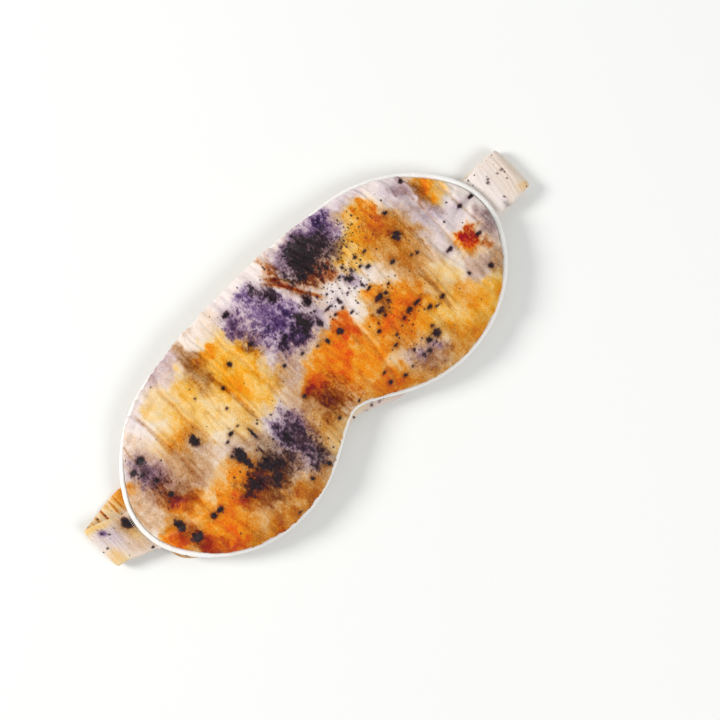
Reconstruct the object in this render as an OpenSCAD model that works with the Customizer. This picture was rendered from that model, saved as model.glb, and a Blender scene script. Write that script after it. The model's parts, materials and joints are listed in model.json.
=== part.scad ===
// Padded sleep mask, lying face up on its own elastic strap.
// +X runs along the strap, +Y towards the forehead, +Z out of the front face.
// The origin is on the surface that the strap lies on, under the middle of the mask.

/* [Mask outline] */
// Height of the brow line above the middle
brow_y = 48.2; // [46:0.1:50]
// Radius of the long brow curve
brow_r = 396; // [380:1:420]
// Radius of the upper shoulder of each lobe
shoulder_r = 63.5; // [62:0.5:65]
// Radius of the side ends, where the strap leaves
end_r = 32.5; // [31.5:0.1:33.5]
// Radius of the lower outer curve of each lobe
cheek_r = 55.5; // [54.5:0.5:57]
// Radius of the bottom of each lobe
lobe_r = 60; // [59:0.5:61]
// Height of the top of the nose notch, below the middle
nose_y = -30.3; // [-32:0.1:-29]
// Radius at the top of the nose notch
nose_r = 9; // [7:0.5:12]

/* [Padding] */
// Height of the side seam above the surface
seam_z = 9; // [8.8:0.1:9.4]
// How far the front panel domes above the seam
front_rise = 10; // [7:0.5:14]
// How far the back panel domes below the seam
back_drop = 5.8; // [4:0.1:5.9]
// Thickness of one silk panel with its backing
panel_t = 0.5; // [0.3:0.05:0.6]
// Thickness of the blackout interlining
lining_t = 0.4; // [0.2:0.05:0.5]
// Depth of the seam allowance behind the piping
allowance = 6; // [5:0.5:8]

/* [Piping] */
// Outer diameter of the covered piping
piping_d = 3; // [2.6:0.1:3.2]
// Thickness of the satin that covers the piping cord
satin_t = 0.35; // [0.25:0.05:0.4]

/* [Strap] */
// Width of the gathered silk sleeve
sleeve_w = 22.5; // [20:0.5:25]
// Outside thickness of the sleeve with the elastic in it
sleeve_t = 2.4; // [2:0.1:2.5]
// Thickness of each side of the sleeve
sleeve_wall = 0.6; // [0.4:0.05:0.7]
// Width of the elastic
elastic_w = 18; // [15:0.5:19]
// Outer edge of the strap where it folds under
fold_x = 125; // [122:0.5:128]
// Half length of the middle piece at the back of the head
middle_x = 12; // [8:1:20]
// Sideways place of the strap where it leaves the seams
seam_y = -2.4; // [-5:0.1:2]
// Sideways place of the left fold, which lies nearer the brow
left_fold_y = 4.6; // [-2:0.1:6]

/* [Hidden] */

// Colours
silk = "moccasin";
satin = "ivory";
white = "white";
black = "dimgray";

// Angles, from the brow round to the bottom, where one arc of the outline meets the next
brow_a = 8;
shoulder_a = 60.5;
end_a = 118.5;
cheek_a = 152;

// Seam section: the piping sits at the edge and its two-ply flange runs inward
piping_r = piping_d / 2;
cord_r = piping_r - satin_t;
ply = 0.25;
ply_gap = 0.05;
flange_z = ply + ply_gap;
allowance_in = piping_d + allowance;
fit_gap = 0.1;
panel_in = 1.2;
thread_r = 0.14;
thread_in = piping_d + 3;

// Where the domes of both panels are cut into rings, from the seam to the ridge
ridge_share = 0.45;
ridge_y = 3;
dome_steps = [1, 0.97, 0.93, 0.87, 0.78, 0.66, 0.5, 0.3, 0.1];

// Strap: lower layer, fold and upper layer
curl_r = 5.7;
bead_r = 2.2;
hinge_x = fold_x - curl_r;
hinge_z = curl_r;
wing_z = curl_r - 0.2;
wing_x = 106.2;
seam_x = 105;
elastic_t = sleeve_t - 2 * sleeve_wall - 0.2;
cut_gap = 0.15;
tail_t = 0.9;
tail_x = 96.5;
tack_x = 98.6;
tack_w = 0.8;
tack_h = 0.3;

// Outline ---------------------------------------------------------------------------

// Unit vector at an angle measured clockwise from the brow
function dir(a) = [sin(a), cos(a)];
function arc(centre, r, from, to, n) =
    [for (i = [0:n - 1]) centre + r * dir(from + (to - from) * i / n)];

brow_c = [0, brow_y - brow_r];
shoulder_c = brow_c + (brow_r - shoulder_r) * dir(brow_a);
end_c = shoulder_c + (shoulder_r - end_r) * dir(shoulder_a);
cheek_c = end_c + (end_r - cheek_r) * dir(end_a);
lobe_c = cheek_c + (cheek_r - lobe_r) * dir(cheek_a);
nose_c = [0, nose_y - nose_r];

// The straight flank touches the lobe's arc on one side and the notch's arc on the other
flank_d = norm(lobe_c - nose_c);
flank_a = atan2(lobe_c.y - nose_c.y, lobe_c.x - nose_c.x) - asin((lobe_r + nose_r) / flank_d);
lobe_a = 180 - flank_a;

half = concat(
    arc(brow_c, brow_r, 0, brow_a, 12),
    arc(shoulder_c, shoulder_r, brow_a, shoulder_a, 11),
    arc(end_c, end_r, shoulder_a, end_a, 7),
    arc(cheek_c, cheek_r, end_a, cheek_a, 6),
    arc(lobe_c, lobe_r, cheek_a, lobe_a, 11),
    arc(nose_c, nose_r, -flank_a, 0, 4));
notch_top = [[0, nose_y]];
outline = concat(half, notch_top,
    [for (i = [len(half) - 1:-1:1]) [-half[i].x, half[i].y]]);
count = len(outline);

function unit(v) = v / norm(v);
// Outward normal at one point of the outline, which runs clockwise
function outward(i) =
    let (run = unit(outline[(i + 1) % count] - outline[(i + count - 1) % count]))
    [-run.y, run.x];

// Rings: lists of points at one height ------------------------------------------------

function rim(inset, z) =
    [for (i = [0:count - 1]) let (p = outline[i] - inset * outward(i)) [p.x, p.y, z]];
function ring(inset, s, z) =
    [for (p = rim(inset, z)) [p.x * (ridge_share + (1 - ridge_share) * s),
                              ridge_y + (p.y - ridge_y) * s, z]];
// Share of the full rise that a dome has at a step, 0 at the seam and 1 at the ridge
function swell(s) = pow(1 - pow(s, 2.4), 0.6);
function dome(inset, base, rise, steps) =
    [for (s = steps) ring(inset, s, base + rise * swell(s))];
function reversed(list) = [for (i = [len(list) - 1:-1:0]) list[i]];

module skin(rings) {
    n = len(rings[0]);
    last = len(rings) - 1;
    points = [for (r = rings) each r];
    walls = [for (k = [0:last - 1], i = [0:n - 1])
        each [[k * n + i, k * n + (i + 1) % n, (k + 1) * n + (i + 1) % n],
              [k * n + i, (k + 1) * n + (i + 1) % n, (k + 1) * n + i]]];
    bottom = [[for (i = [n - 1:-1:0]) i]];
    top = [[for (i = [0:n - 1]) last * n + i]];
    polyhedron(points, concat(bottom, walls, top), convexity = 6);
}

// A section of [inset, height] points carried once round the outline
module hoop(section) {
    n = count;
    m = len(section);
    points = [for (q = section) each rim(q.x, q.y)];
    walls = [for (k = [0:m - 1], i = [0:n - 1])
        let (a = k * n + i, b = k * n + (i + 1) % n,
             c = ((k + 1) % m) * n + (i + 1) % n, d = ((k + 1) % m) * n + i)
        each [[a, b, c], [a, c, d]]];
    polyhedron(points, walls, convexity = 8);
}

// Padded body -------------------------------------------------------------------------

front_base = seam_z + flange_z;
back_base = seam_z - flange_z;
front_in = concat([rim(allowance_in, front_base + panel_t)], [rim(allowance_in, front_base)]);
back_in = concat([rim(allowance_in, back_base)], [rim(allowance_in, back_base - panel_t)]);
padding_in = piping_d + panel_in;

module front_panel() {
    color(silk)
        skin(concat(
            reversed(dome(padding_in, front_base + panel_t, front_rise - 2 * panel_t, dome_steps)),
            front_in,
            dome(piping_d, front_base, front_rise, dome_steps)));
}

module back_panel() {
    color(silk)
        difference() {
            skin(concat(
                reversed(dome(piping_d, back_base, -back_drop, dome_steps)),
                back_in,
                dome(padding_in, back_base - panel_t, 2 * panel_t - back_drop, dome_steps)));
            both_sides() tail_room();
        }
}

inner_steps = [for (i = [1:len(dome_steps) - 1]) dome_steps[i]];
lining_in = allowance_in + fit_gap;
thread_gap = 0.35;

// The wadding lies a little inside the panel that covers it
wadding_gap = 0.3;
wadding_in = padding_in + wadding_gap;
wadding_trim = 2 * panel_t + wadding_gap;

module front_wadding() {
    color(white)
        skin(concat(
            [rim(lining_in, seam_z + lining_t / 2)],
            [rim(lining_in, front_base + panel_t + thread_gap)],
            [rim(wadding_in + 1, front_base + panel_t + thread_gap)],
            dome(wadding_in, front_base + panel_t, front_rise - wadding_trim, inner_steps)));
}

module back_wadding() {
    color(white)
        difference() {
            skin(concat(
                reversed(dome(wadding_in, back_base - panel_t, wadding_trim - back_drop, inner_steps)),
                [rim(wadding_in + 1, back_base - panel_t - thread_gap)],
                [rim(lining_in, back_base - panel_t - thread_gap)],
                [rim(lining_in, seam_z - lining_t / 2)]));
            both_sides() tail_room();
        }
}

module blackout_interlining() {
    color(black)
        translate([0, 0, seam_z - lining_t / 2])
            linear_extrude(lining_t)
                polygon([for (p = rim(lining_in, 0)) [p.x, p.y]]);
}

// Piping ------------------------------------------------------------------------------

round_steps = 8;
// Points of a circle round the piping's centre, from the top of the flange to its bottom
function piping_arc(r, z) =
    let (open = asin(z / r))
    [for (i = [0:round_steps])
        let (a = open + (360 - 2 * open) * i / round_steps)
        [piping_r + r * cos(a), seam_z + r * sin(a)]];

module piping_cover() {
    color(satin)
        hoop(concat(
            [[allowance_in, seam_z + flange_z]],
            piping_arc(piping_r, flange_z),
            [[allowance_in, seam_z - flange_z]],
            [[allowance_in, seam_z - ply_gap]],
            reversed(piping_arc(cord_r, ply_gap)),
            [[allowance_in, seam_z + ply_gap]]));
}

cord_sides = 8;
module piping_cord() {
    color(white)
        hoop([for (i = [0:cord_sides - 1])
            let (a = 360 * i / cord_sides)
            [piping_r + (cord_r - fit_gap) * cos(a), seam_z + (cord_r - fit_gap) * sin(a)]]);
}

thread_sides = 3;
module seam_stitching() {
    color(white)
        for (z = [front_base + panel_t + thread_gap / 2, back_base - panel_t - thread_gap / 2])
            hoop([for (i = [0:thread_sides - 1])
                let (a = 360 * i / thread_sides)
                [thread_in + thread_r * cos(a), z + thread_r * sin(a)]]);
}

// Strap ends caught in the side seams ---------------------------------------------------

// Side section of the sewn end: flat under the flange, then down under the piping
function tail_section(grow, from, to) =
    let (x = end_c.x)
    [[from - x, back_base - 0.05 + grow], [101.7 - x, back_base - 0.05 + grow],
     [102.6 - x, 7.75 + grow], [103.4 - x, 7.3 + grow], [to - x, 7.25 + grow],
     [to - x, 6.25 - grow], [102.9 - x, 6.3 - grow], [101.9 - x, 6.8 - grow],
     [101 - x, back_base - 0.05 - tail_t - grow], [from - x, back_base - 0.05 - tail_t - grow]];

module tail(grow, width, from, to) {
    intersection() {
        translate([end_c.x, end_c.y, 0])
            rotate_extrude($fn = 96)
                polygon(tail_section(grow, from, to));
        translate([end_c.x, seam_y - width / 2, 0])
            cube([fold_x - end_c.x, width, seam_z]);
    }
}

module tail_room() {
    tail(0.05, sleeve_w - 0.9, tail_x - 0.2, seam_x + 3);
    translate([tack_x - 0.1, seam_y - elastic_w / 2 - 0.2, back_base - tail_t - tack_h - 0.2])
        cube([tack_w + 0.2, elastic_w + 0.4, tack_h + 0.3]);
}

// Draws its child on the right and mirrored on the left
module both_sides() {
    children();
    mirror([1, 0, 0]) children();
}

module sleeve_ends() {
    color(silk)
        both_sides()
            difference() {
                tail(0, sleeve_w - 1, tail_x, seam_x + 0.2);
                tail(-0.22, elastic_w + 0.2, tail_x - 1, seam_x + 1);
            }
}

module elastic_ends() {
    color(white)
        both_sides()
            tail(-0.25, elastic_w, tail_x, seam_x + 0.2);
}

module bar_tacks() {
    color(white)
        both_sides()
            translate([tack_x, seam_y - elastic_w / 2, back_base - 0.05 - tail_t - tack_h])
                cube([tack_w, elastic_w, tack_h - 0.05]);
}

// Strap -------------------------------------------------------------------------------

// Sideways place of the strap's middle line; the lower layer runs straight between the folds
function rear_y(x) = left_fold_y + (seam_y - left_fold_y) * (x + fold_x) / (2 * fold_x);
function wing_y(x, y_fold) = seam_y + (y_fold - seam_y) * (x - seam_x) / (fold_x - seam_x);

// A side view [x, z] carried across the strap and cut to its plan between two stations
module band(width, x1, y1, x2, y2) {
    intersection() {
        translate([0, 60, 0])
            rotate([90, 0, 0])
                linear_extrude(120)
                    children();
        linear_extrude(4 * curl_r)
            polygon([[x1, y1 - width / 2], [x2, y2 - width / 2],
                     [x2, y2 + width / 2], [x1, y1 + width / 2]]);
    }
}

// Lower layer on the right, with its end curled up round the fold
module rear_side(inset, gap) {
    translate([middle_x + gap, inset])
        square([hinge_x - middle_x - gap, sleeve_t - 2 * inset]);
    translate([hinge_x, hinge_z])
        intersection() {
            difference() {
                circle(r = curl_r - inset, $fn = 64);
                circle(r = curl_r - sleeve_t + inset, $fn = 64);
            }
            translate([0, -curl_r])
                square([curl_r, curl_r]);
        }
}

module rear(side, inset, width) {
    y1 = rear_y(0);
    y2 = rear_y(side * fold_x);
    mirror([side > 0 ? 0 : 1, 0, 0])
        band(width, 0, y1, fold_x, y2)
            rear_side(inset, cut_gap);
}

// Upper layer on the right, from the seam to a rolled end on the fold's axis
module wing_side(inset, bead) {
    translate([wing_x, wing_z + inset])
        square([hinge_x - wing_x, sleeve_t - 2 * inset]);
    translate([hinge_x, hinge_z])
        circle(r = bead, $fn = 48);
}

module wing(side, inset, width, bead) {
    y1 = wing_y(wing_x, rear_y(side * fold_x));
    y2 = rear_y(side * fold_x);
    mirror([side > 0 ? 0 : 1, 0, 0])
        band(width, wing_x, y1, fold_x, y2)
            wing_side(inset, bead);
}

cavity = sleeve_wall - 0.05;
cavity_w = elastic_w + 0.4;
elastic_in = (sleeve_t - elastic_t) / 2;
bead_hole = 0.9;
bead_core = 0.8;

module sleeve_rear(side) {
    difference() {
        rear(side, 0, sleeve_w);
        rear(side, cavity, cavity_w);
    }
}

module sleeve_wing(side) {
    difference() {
        wing(side, 0, sleeve_w, bead_r);
        wing(side, cavity, cavity_w, bead_hole);
    }
}

module sleeve_left_rear() {
    color(silk) sleeve_rear(-1);
}

module sleeve_right_rear() {
    color(silk) sleeve_rear(1);
}

module elastic_left_rear() {
    color(white) rear(-1, elastic_in, elastic_w);
}

module elastic_right_rear() {
    color(white) rear(1, elastic_in, elastic_w);
}

module sleeve_left_wing() {
    color(silk) sleeve_wing(-1);
}

module sleeve_right_wing() {
    color(silk) sleeve_wing(1);
}

module elastic_left_wing() {
    color(white) wing(-1, elastic_in, elastic_w, bead_core);
}

module elastic_right_wing() {
    color(white) wing(1, elastic_in, elastic_w, bead_core);
}

module middle(inset, width) {
    x = middle_x - cut_gap;
    band(width, -x, rear_y(-x), x, rear_y(x))
        translate([-x, inset])
            square([2 * x, sleeve_t - 2 * inset]);
}

module sleeve_middle() {
    color(silk)
        difference() {
            middle(0, sleeve_w);
            middle(cavity, cavity_w);
        }
}

module elastic_middle() {
    color(white) middle(elastic_in, elastic_w);
}

front_panel();
front_wadding();
blackout_interlining();
back_wadding();
back_panel();
piping_cover();
piping_cord();
seam_stitching();
sleeve_ends();
elastic_ends();
bar_tacks();
sleeve_left_wing();
elastic_left_wing();
sleeve_left_rear();
elastic_left_rear();
sleeve_middle();
elastic_middle();
sleeve_right_rear();
elastic_right_rear();
sleeve_right_wing();
elastic_right_wing();
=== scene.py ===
"""A padded silk sleep mask lying face up on its folded strap, seen from straight above."""
import json
import math

import bmesh
import bpy
import numpy as np
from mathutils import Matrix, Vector
from mathutils.kdtree import KDTree


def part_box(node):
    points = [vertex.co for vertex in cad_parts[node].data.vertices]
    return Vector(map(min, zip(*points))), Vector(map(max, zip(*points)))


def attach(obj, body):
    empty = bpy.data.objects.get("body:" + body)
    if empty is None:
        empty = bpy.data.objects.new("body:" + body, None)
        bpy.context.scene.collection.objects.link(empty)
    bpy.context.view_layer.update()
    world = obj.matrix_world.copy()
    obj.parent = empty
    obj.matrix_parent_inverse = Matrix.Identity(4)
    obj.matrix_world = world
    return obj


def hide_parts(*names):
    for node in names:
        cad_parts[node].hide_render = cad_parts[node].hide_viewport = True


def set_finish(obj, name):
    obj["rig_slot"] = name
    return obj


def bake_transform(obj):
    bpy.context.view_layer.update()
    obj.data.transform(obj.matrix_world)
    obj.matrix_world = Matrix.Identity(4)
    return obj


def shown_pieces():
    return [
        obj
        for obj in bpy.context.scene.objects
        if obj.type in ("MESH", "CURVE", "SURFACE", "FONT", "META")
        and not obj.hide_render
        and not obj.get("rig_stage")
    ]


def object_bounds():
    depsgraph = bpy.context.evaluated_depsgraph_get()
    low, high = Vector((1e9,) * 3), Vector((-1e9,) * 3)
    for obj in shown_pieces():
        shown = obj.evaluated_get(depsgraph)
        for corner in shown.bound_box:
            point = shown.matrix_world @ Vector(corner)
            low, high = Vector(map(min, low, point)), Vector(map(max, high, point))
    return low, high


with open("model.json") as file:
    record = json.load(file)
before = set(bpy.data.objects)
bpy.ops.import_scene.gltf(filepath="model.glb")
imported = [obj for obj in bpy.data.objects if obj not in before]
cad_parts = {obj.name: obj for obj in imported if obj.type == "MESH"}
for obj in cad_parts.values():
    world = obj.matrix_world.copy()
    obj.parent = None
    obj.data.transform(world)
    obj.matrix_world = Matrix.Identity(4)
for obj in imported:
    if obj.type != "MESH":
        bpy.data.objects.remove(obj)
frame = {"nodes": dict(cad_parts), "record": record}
cad_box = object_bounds()

MM = 0.001  # lengths below are in millimetres, and Blender's are in metres


def node_mm(name):
    """A CAD node's lowest and highest corners, in millimetres."""
    low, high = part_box(name)
    return np.array(low) / MM, np.array(high) / MM


# Sizes read from the frame
piping_low, piping_high = node_mm("piping_cover")
seam_z = (piping_low[2] + piping_high[2]) / 2
piping_r = (piping_high[2] - piping_low[2]) / 2
front_top = node_mm("front_panel")[1][2]
back_bottom = node_mm("back_panel")[0][2]
strap_t = node_mm("sleeve_middle")[1][2]
sleeve_w = np.ptp([corner[1] for corner in node_mm("sleeve_right_wing")])
elastic_w = np.ptp([corner[1] for corner in node_mm("elastic_right_wing")])
fold_x = cad_box[1][0] / MM
hinges = {j["name"]: np.array(j["pos_m"]) / MM for j in frame["record"]["behaviour"]["joints"]}
seam_x = -hinges["left_seam"][0]
seam_y = hinges["left_seam"][1]
left_fold_y = hinges["left_fold"][1]


# --- Noise ---

def noise(x, y, seed):
    """Smooth noise from -1 to 1, in cells of size 1."""
    table = np.random.default_rng(seed).uniform(-1, 1, (256, 256))
    i, j = np.floor(x).astype(int), np.floor(y).astype(int)
    f, g = x - i, y - j
    f = f * f * f * (f * (f * 6 - 15) + 10)
    g = g * g * g * (g * (g * 6 - 15) + 10)
    i, j, k, l = i & 255, j & 255, (i + 1) & 255, (j + 1) & 255
    low = table[i, j] * (1 - f) + table[k, j] * f
    high = table[i, l] * (1 - f) + table[k, l] * f
    return low * (1 - g) + high * g


def fbm(x, y, seed, octaves=4, gain=0.5):
    """Noise summed over octaves, roughly from -1 to 1."""
    total, size, weight = 0, 1, 0
    for k in range(octaves):
        total = total + size * noise(x * 2 ** k, y * 2 ** k, seed + k)
        weight += size
        size *= gain
    return total / weight * 1.6


def smooth(low, high, x):
    """0 below low, 1 above high and an S-shaped rise between them."""
    t = np.clip((x - low) / (high - low), 0, 1)
    return t * t * (3 - 2 * t)


# --- Outline of the mask, read from the piping's outermost ring ---

MIDDLE = np.array([0.0, 3.0])  # every point of the outline can be seen from here


def piping_ring():
    """Corners of the piping's outer edge, in order round MIDDLE."""
    mesh = frame["nodes"]["piping_cover"].data
    co = np.array([v.co for v in mesh.vertices]) / MM
    ring = co[np.abs(co[:, 2] - seam_z) < 0.02][:, :2]
    reach = np.hypot(*(ring - MIDDLE).T)
    outermost = [reach[i] >= reach[np.hypot(*(ring - p).T) < 0.6].max() - 0.01
                 for i, p in enumerate(ring)]
    ring = ring[outermost]
    ring = ring[np.argsort(np.arctan2(*(ring - MIDDLE).T[::-1]))]
    step = np.hypot(*(ring - np.roll(ring, 1, 0)).T)
    return ring[step > 0.05]


def closed_curve(points, count):
    """A smooth closed curve through points, which may be spaced unevenly, cut into equal steps."""
    step = np.roll(points, -1, 0) - points
    span = np.hypot(*step.T)[:, None]
    slope = step / span
    before, span_before = np.roll(slope, 1, 0), np.roll(span, 1, 0)
    tangent = (before * span + slope * span_before) / (span + span_before)
    t = np.linspace(0, 1, 24, endpoint=False)[None, :, None]
    start, end = points[:, None], np.roll(points, -1, 0)[:, None]
    leave, arrive = (tangent * span)[:, None], (np.roll(tangent, -1, 0) * span)[:, None]
    fine = ((2 * t ** 3 - 3 * t ** 2 + 1) * start + (t ** 3 - 2 * t ** 2 + t) * leave
            + (3 * t ** 2 - 2 * t ** 3) * end + (t ** 3 - t ** 2) * arrive).reshape(-1, 2)
    fine = np.concatenate([fine, fine[:1]])
    length = np.concatenate([[0], np.cumsum(np.hypot(*np.diff(fine, axis=0).T))])
    at = np.linspace(0, length[-1], count, endpoint=False)
    return np.stack([np.interp(at, length, fine[:, k]) for k in (0, 1)], 1), length[-1]


EDGE_STEPS = 1440
edge, edge_length = closed_curve(piping_ring(), EDGE_STEPS)
for _ in range(40):
    edge = (np.roll(edge, 1, 0) + 2 * edge + np.roll(edge, -1, 0)) / 4
run = np.roll(edge, -1, 0) - np.roll(edge, 1, 0)
run /= np.hypot(*run.T)[:, None]
edge_out = np.stack([run[:, 1], -run[:, 0]], 1)  # the ring runs anticlockwise
edge_at = np.arange(EDGE_STEPS) * edge_length / EDGE_STEPS
edge_angle = np.degrees(np.arctan2(edge[:, 1], edge[:, 0])) % 360


def around(values):
    """Values given at some angles round the mask, in degrees from +X, for each edge point."""
    keys = sorted(values)
    xs = [keys[-1] - 360] + keys + [keys[0] + 360]
    ys = np.array([values[keys[-1]]] + [values[k] for k in keys] + [values[keys[0]]])
    t = np.interp(edge_angle, xs, np.arange(len(xs)))
    base = np.floor(t).astype(int).clip(0, len(xs) - 2)
    f = smooth(0, 1, t - base)
    return ys[base] * (1 - f) + ys[base + 1] * f


# --- Meshes ---

def link(thing):
    bpy.context.scene.collection.objects.link(thing)
    return thing


def make_piece(name, points, faces, body, slot, stands_for, rest=None, closed=True):
    """A smooth mesh from points in millimetres. "mm" keeps each point's unbent place."""
    mesh = bpy.data.meshes.new(name)
    mesh.from_pydata((np.asarray(points) * MM).tolist(), [], faces)
    if closed:
        work = bmesh.new()
        work.from_mesh(mesh)
        bmesh.ops.recalc_face_normals(work, faces=work.faces)
        work.to_mesh(mesh)
        work.free()
    mesh.shade_smooth()
    place = mesh.attributes.new("mm", "FLOAT_VECTOR", "POINT")
    rest = points if rest is None else rest
    place.data.foreach_set("vector", np.asarray(rest, np.float32).ravel())
    piece = link(bpy.data.objects.new(name, mesh))
    if body:
        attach(piece, body)
    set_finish(piece, slot)
    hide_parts(*stands_for)
    return piece


def grid_points(x, y, z):
    """Points of a grid from arrays of their coordinates, which are stretched to the same shape."""
    return np.stack(np.broadcast_arrays(x, y, z), 2).reshape(-1, 3)


def grid_faces(rows, columns, loop_rows=False, loop_columns=False):
    """Quads of a grid whose point (i, j) has index i * columns + j. A loop joins last to first."""
    i, j = np.meshgrid(np.arange(rows if loop_rows else rows - 1),
                       np.arange(columns if loop_columns else columns - 1), indexing="ij")
    i, j = i.ravel(), j.ravel()
    k, l = (i + 1) % rows, (j + 1) % columns
    quads = [i * columns + j, k * columns + j, k * columns + l, i * columns + l]
    return np.stack(quads, 1).tolist()


def end_caps(rows, columns):
    """The two faces that close a tube whose sections are a grid's rows."""
    return [list(range(columns)), list(range((rows - 1) * columns, rows * columns))]


def hoop(section_in, section_z):
    """A section carried round the outline. Both arrays are edge steps by section points."""
    steps, columns = section_in.shape
    x, y = (edge[:, k, None] - section_in * edge_out[:, k, None] for k in (0, 1))
    return grid_points(x, y, section_z), grid_faces(steps, columns, True, True)


# --- Panels ---

def polar_radius(ring):
    """Distance of a closed ring from MIDDLE at any angle."""
    away = ring - MIDDLE
    angle = np.arctan2(away[:, 1], away[:, 0])
    order = np.argsort(angle)
    angle, radius = angle[order], np.hypot(*away.T)[order]
    angle = np.concatenate([angle[-3:] - 2 * np.pi, angle, angle[:3] + 2 * np.pi])
    radius = np.concatenate([radius[-3:], radius, radius[:3]])
    return lambda a: np.interp(a, angle, radius)


def panel_grid(ring, nx, ny):
    """Points that fill a ring evenly, and their quads, which face up."""
    u, v = np.meshgrid(np.linspace(-1, 1, nx + 1), np.linspace(-1, 1, ny + 1), indexing="ij")
    a, b = (u * np.sqrt(1 - v * v / 2)).ravel(), (v * np.sqrt(1 - u * u / 2)).ravel()
    out = np.hypot(a, b)
    close = 1 - (1 - out) * (1 - 0.72 * out ** 8)  # rows lie closer together at the rim
    wide, high = np.ptp(ring[:, 0]) / 2, np.ptp(ring[:, 1]) / 2
    angle = np.arctan2(b * high, a * wide)
    r = close * polar_radius(ring)(angle)
    xy = MIDDLE + r[:, None] * np.stack([np.cos(angle), np.sin(angle)], 1)
    return xy, grid_faces(nx + 1, ny + 1)


edge_near = KDTree(EDGE_STEPS)
for index, corner in enumerate(edge):
    edge_near.insert((corner[0], corner[1], 0), index)
edge_near.balance()


def from_edge(points):
    """For each point, how far it lies inside the outline, and the nearest outline point's index."""
    found = [edge_near.find((p[0], p[1], 0))[1:] for p in points]
    nearest, distance = np.array([f[0] for f in found]), np.array([f[1] for f in found])
    outside = ((points[:, :2] - edge[nearest]) * edge_out[nearest]).sum(1) > 0
    return np.where(outside, -distance, distance), nearest


CELL = 1.5  # of the height field that gives the panels their puffed shape
HEIGHTS_X = np.arange(-108, 108 + CELL, CELL)
HEIGHTS_Y = np.arange(-51, 51 + CELL, CELL)


def between_cells(field, x, y):
    """A grid's value at places that are counted in its cells."""
    i, j = (at.astype(int).clip(0, size - 2) for at, size in zip((x, y), field.shape))
    f, g = x - i, y - j
    return ((field[i, j] * (1 - f) + field[i + 1, j] * f) * (1 - g)
            + (field[i, j + 1] * (1 - f) + field[i + 1, j + 1] * f) * g)


def inflate(inset, rounds=900):
    """Height field of a membrane blown up inside the outline, 0 at the edge and 1 at its highest."""
    inside = polar_radius(edge - inset * edge_out)
    x, y = np.meshgrid(HEIGHTS_X, HEIGHTS_Y, indexing="ij")
    x, y = x - MIDDLE[0], y - MIDDLE[1]
    mask = np.hypot(x, y) < inside(np.arctan2(y, x))
    u = np.zeros_like(x)
    for _ in range(rounds):
        u[1:-1, 1:-1] = (u[2:, 1:-1] + u[:-2, 1:-1] + u[1:-1, 2:] + u[1:-1, :-2] + 1) / 4
        u *= mask
    return u / u.max()


SEAM_IN = 2.7  # where the panels are sewn, inwards from the piping's outer edge
blown = inflate(2.4)


def puffed(side, nx, ny, over, seam_in=SEAM_IN, lift=0.0):
    """The smooth puffed surface of the front (side 1) or back (side -1), before its creases.
    over says, round the outline, how far it bulges past the piping, and lift how far under it a
    layer lies. It gives the points, each one's distance from the seam, and the quads."""
    xy, faces = panel_grid(edge - seam_in * edge_out, nx, ny)
    d, nearest = from_edge(xy)
    inner = (d - seam_in).clip(0)
    share = 1 - np.exp(-inner / 3.2)
    dome = between_cells(blown, (xy[:, 0] - HEIGHTS_X[0]) / CELL, (xy[:, 1] - HEIGHTS_Y[0]) / CELL)
    if side > 0:
        z = 0.9 + (front_top - seam_z - 1.7) * (0.30 * share + 0.70 * dome ** 0.62)
    else:
        z = 0.9 + (seam_z - back_bottom - 1.1) * (0.50 * share + 0.50 * dome ** 0.5)
    bulge = (1 - np.exp(-inner / 0.9)) * np.exp(-inner / 6) / 0.64
    push = (seam_in + 1.6 + over[nearest]) * bulge - 0.6 * lift * share
    xy = xy + edge_out[nearest] * push[:, None]
    z = z - lift * share
    return np.column_stack([xy, seam_z + side * z]), inner, faces


def rest_on_piping(points, side, gap=0.12):
    """Lifts a panel's edge where it would sink into the piping."""
    d, _ = from_edge(points)
    clear = (piping_r + gap) ** 2 - (d - piping_r) ** 2
    least = np.sqrt(clear.clip(0))
    z = side * (points[:, 2] - seam_z)
    points[:, 2] = seam_z + side * np.maximum(z, least)
    return points


def push_out(points, nx, ny, relief):
    """Moves a grid's points along its normals."""
    grid = points.reshape(nx + 1, ny + 1, 3)
    across = np.cross(np.gradient(grid, axis=0), np.gradient(grid, axis=1))
    across /= np.linalg.norm(across, axis=2, keepdims=True)
    return points + across.reshape(-1, 3) * relief[:, None]


def crease_at(x, y, start, end, bow):
    """How far points lie beside a crease, and how strong it is there along its length."""
    a, b = np.array(start, float), np.array(end, float)
    length = np.hypot(*(b - a))
    along = (b - a) / length
    away_x, away_y = x - a[0], y - a[1]
    run = away_x * along[0] + away_y * along[1]
    t = run / length
    wobble = 0.6 * noise(run / 9, np.full(len(x), start[0] * 0.7), 40)
    beside = away_y * along[0] - away_x * along[1] - bow * (1 - (2 * t - 1) ** 2) + wobble
    return beside, smooth(-0.12, 0.15, t) * smooth(1.12, 0.8, t)


def fold_line(x, y, start, end, width, depth, bow=0.0):
    """Relief of one crease: a narrow valley from start to end with a soft ridge beside it."""
    s, fade = crease_at(x, y, start, end, bow)
    return depth * fade * (0.6 * np.exp(-((s - 1.7 * width) / width) ** 2) - np.exp(-(s / width) ** 2))


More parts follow.
